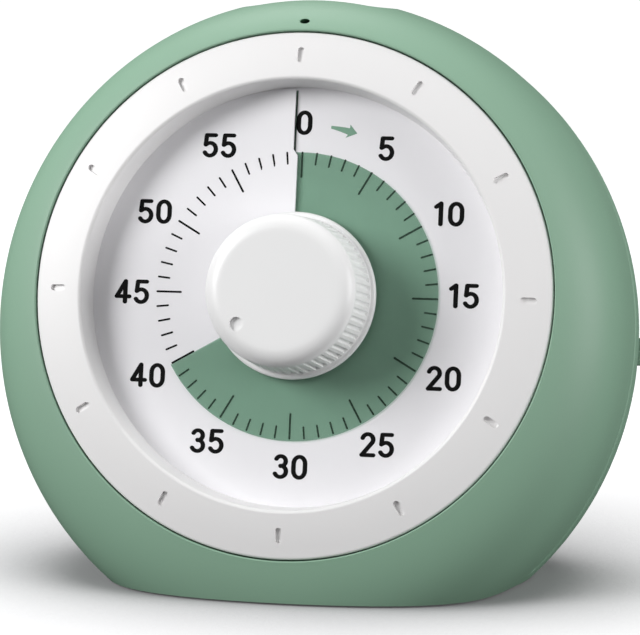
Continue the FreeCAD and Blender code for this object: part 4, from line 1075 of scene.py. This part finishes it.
class TIMER_OT_stage(TimerStep, bpy.types.Operator):
    """Set the camera, the pale floor and the soft lamps"""
    bl_idname = "timer.stage"
    bl_label = "Stage"

    def build(self, scene):
        s = scene.timer_stage
        self.place_camera(scene, s)
        self.lay_floor(s)
        self.light(scene, s)
        scene.view_settings.view_transform = "Standard"

    def place_camera(self, scene, s):
        ahead = Vector((-math.sin(s.azimuth) * math.cos(s.elevation),
                        math.cos(s.azimuth) * math.cos(s.elevation), -math.sin(s.elevation)))
        right = Vector((math.cos(s.azimuth), math.sin(s.azimuth), 0))
        down = ahead.cross(right)
        data = bpy.data.cameras.new("photo_view")
        data.lens = s.lens
        data.sensor_width = 36.0
        data.clip_start = 0.01
        camera = bpy.data.objects.new("photo_view", data)
        camera.location = (DIAL_CENTRE - ahead * s.distance + right * s.shift_right
                           + down * s.shift_down)
        turn = Matrix((right, -down, -ahead)).transposed()
        camera.rotation_euler = turn.to_euler()
        bpy.context.collection.objects.link(camera)
        scene.camera = camera

    def lay_floor(self, s):
        """A wide floor that curves up behind. The camera sees it white but for its shadow. That shadow
        is partly cast by the lamps and partly painted shadow.
        """
        half_wide, near_end, flat_end, bend, top, steps = 2.5, -2.0, 0.9, 0.5, 2.2, 15
        profile = [(near_end, 0.0), (flat_end, 0.0)]
        profile += [(flat_end + bend * math.sin(t), bend - bend * math.cos(t))
                    for t in (math.radians(90 / steps * i) for i in range(1, steps + 1))]
        profile += [(flat_end + bend, top)]
        bm = bmesh.new()
        verts = [bm.verts.new((-half_wide, y, z)) for y, z in profile]
        edges = [bm.edges.new(p) for p in zip(verts, verts[1:])]
        made = bmesh.ops.extrude_edge_only(bm, edges=edges)["geom"]
        bmesh.ops.translate(bm, vec=(2 * half_wide, 0, 0),
                            verts=[g for g in made if isinstance(g, bmesh.types.BMVert)])
        bmesh.ops.recalc_face_normals(bm, faces=bm.faces)
        floor = as_object(bm, "floor")
        floor.data.shade_smooth()
        floor.data.materials.append(self.floor_paper(s))

    def floor_paper(self, s):
        """Matt paper. The camera sees it glow, less so where the timer stands close, which is painted
        shadow from ambient occlusion, and the timer is lit by a dim floor."""
        material, tree = fresh("matt_paper_floor")
        path = add_node(tree, "LightPath")
        seen = add_node(tree, "Math", {0: path.outputs["Is Camera Ray"],
                                       1: path.outputs["Is Transmission Ray"]},
                        operation="MAXIMUM")
        grain = add_node(tree, "TexNoise", {"Scale": 900.0})
        bump = add_node(tree, "Bump", {"Height": grain.outputs["Fac"], "Distance": 0.02 * MM})
        shade = add_node(tree, "BsdfDiffuse",
                         {"Color": opaque(s.floor), "Normal": bump.outputs["Normal"]})
        # Painted shadow: ambient occlusion from the timer dims the floor's glow round its base.
        painted_shadow_occlusion = add_node(tree, "AmbientOcclusion", {"Distance": 0.07}, samples=12)
        painted_shadow_fade = add_node(tree, "MapRange", {"Value": painted_shadow_occlusion.outputs["AO"], "From Min": 0.42,
                                           "From Max": 0.97, "To Min": 0.05, "To Max": 0.88})
        glow = add_node(tree, "Emission", {"Color": WHITE, "Strength": painted_shadow_fade.outputs[0]})
        white = add_node(tree, "AddShader", {0: shade.outputs[0], 1: glow.outputs[0]})
        dim = add_node(tree, "BsdfDiffuse", {"Color": opaque(s.bounce)})
        both = add_node(tree, "MixShader",
                        {0: seen.outputs[0], 1: dim.outputs[0], 2: white.outputs[0]})
        add_node(tree, "OutputMaterial", {"Surface": both.outputs[0]})
        return material

    def light(self, scene, s):
        # Each lamp's place from the dial's centre and its width, in metres, and its power.
        lamps = (("key_softbox", (-0.66, -0.58, 0.40), 0.50, s.key),
                 ("side_panel", (0.82, -0.16, 0.12), 0.55, s.side),
                 ("top_panel", (-0.22, 0.30, 0.82), 0.50, s.top))
        for name, place, size, power in lamps:
            data = bpy.data.lights.new(name, "AREA")
            data.shape = "DISK"
            data.size = size
            data.energy = power
            lamp = bpy.data.objects.new(name, data)
            lamp.location = DIAL_CENTRE + Vector(place)
            lamp.rotation_euler = (-Vector(place)).to_track_quat("-Z", "Y").to_euler()
            bpy.context.collection.objects.link(lamp)
        world = bpy.data.worlds.new("pale_room")
        world.use_nodes = True
        tree = world.node_tree
        tree.nodes.clear()
        path = add_node(tree, "LightPath")
        room = add_node(tree, "Background", {"Color": WHITE, "Strength": s.world})
        white = add_node(tree, "Background", {"Color": WHITE, "Strength": 1.0})
        both = add_node(tree, "MixShader", {0: path.outputs["Is Camera Ray"],
                                            1: room.outputs[0], 2: white.outputs[0]})
        add_node(tree, "OutputWorld", {"Surface": both.outputs[0]})
        scene.world = world


class TIMER_PT_panel(bpy.types.Panel):
    """Lists the timer's pieces"""
    bl_idname = "TIMER_PT_panel"
    bl_label = "Countdown Timer"
    bl_space_type = "VIEW_3D"
    bl_region_type = "UI"
    bl_category = "Timer"

    def draw(self, context):
        for operator in OPERATORS:
            self.layout.operator(operator.bl_idname)
        for name in GROUPS:
            box = self.layout.box()
            group = getattr(context.scene, name)
            for field in group.bl_rna.properties:
                if field.identifier not in {"rna_type", "name"}:
                    box.prop(group, field.identifier)


OPERATORS = (TIMER_OT_front_shell, TIMER_OT_rear_shell, TIMER_OT_ring, TIMER_OT_dial,
             TIMER_OT_prints, TIMER_OT_film, TIMER_OT_knob, TIMER_OT_works, TIMER_OT_stage)


def register():
    for group in GROUPS.values():
        bpy.utils.register_class(group)
    for name, group in GROUPS.items():
        setattr(bpy.types.Scene, name, PointerProperty(type=group))
    for operator in OPERATORS:
        bpy.utils.register_class(operator)
    bpy.utils.register_class(TIMER_PT_panel)


def unregister():
    bpy.utils.unregister_class(TIMER_PT_panel)
    for operator in reversed(OPERATORS):
        bpy.utils.unregister_class(operator)
    for name in GROUPS:
        delattr(bpy.types.Scene, name)
    for group in reversed(GROUPS.values()):
        bpy.utils.unregister_class(group)


def main():
    for startup in ("Cube", "Light", "Camera"):
        if startup in bpy.data.objects:
            bpy.data.objects.remove(bpy.data.objects[startup])
    register()
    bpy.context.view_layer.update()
    for operator in OPERATORS:
        step = getattr(bpy.ops.timer, operator.bl_idname.split(".")[1])
        if step() != {"FINISHED"}:
            raise RuntimeError("a step of the timer did not finish")


if __name__ == "__main__":
    main()
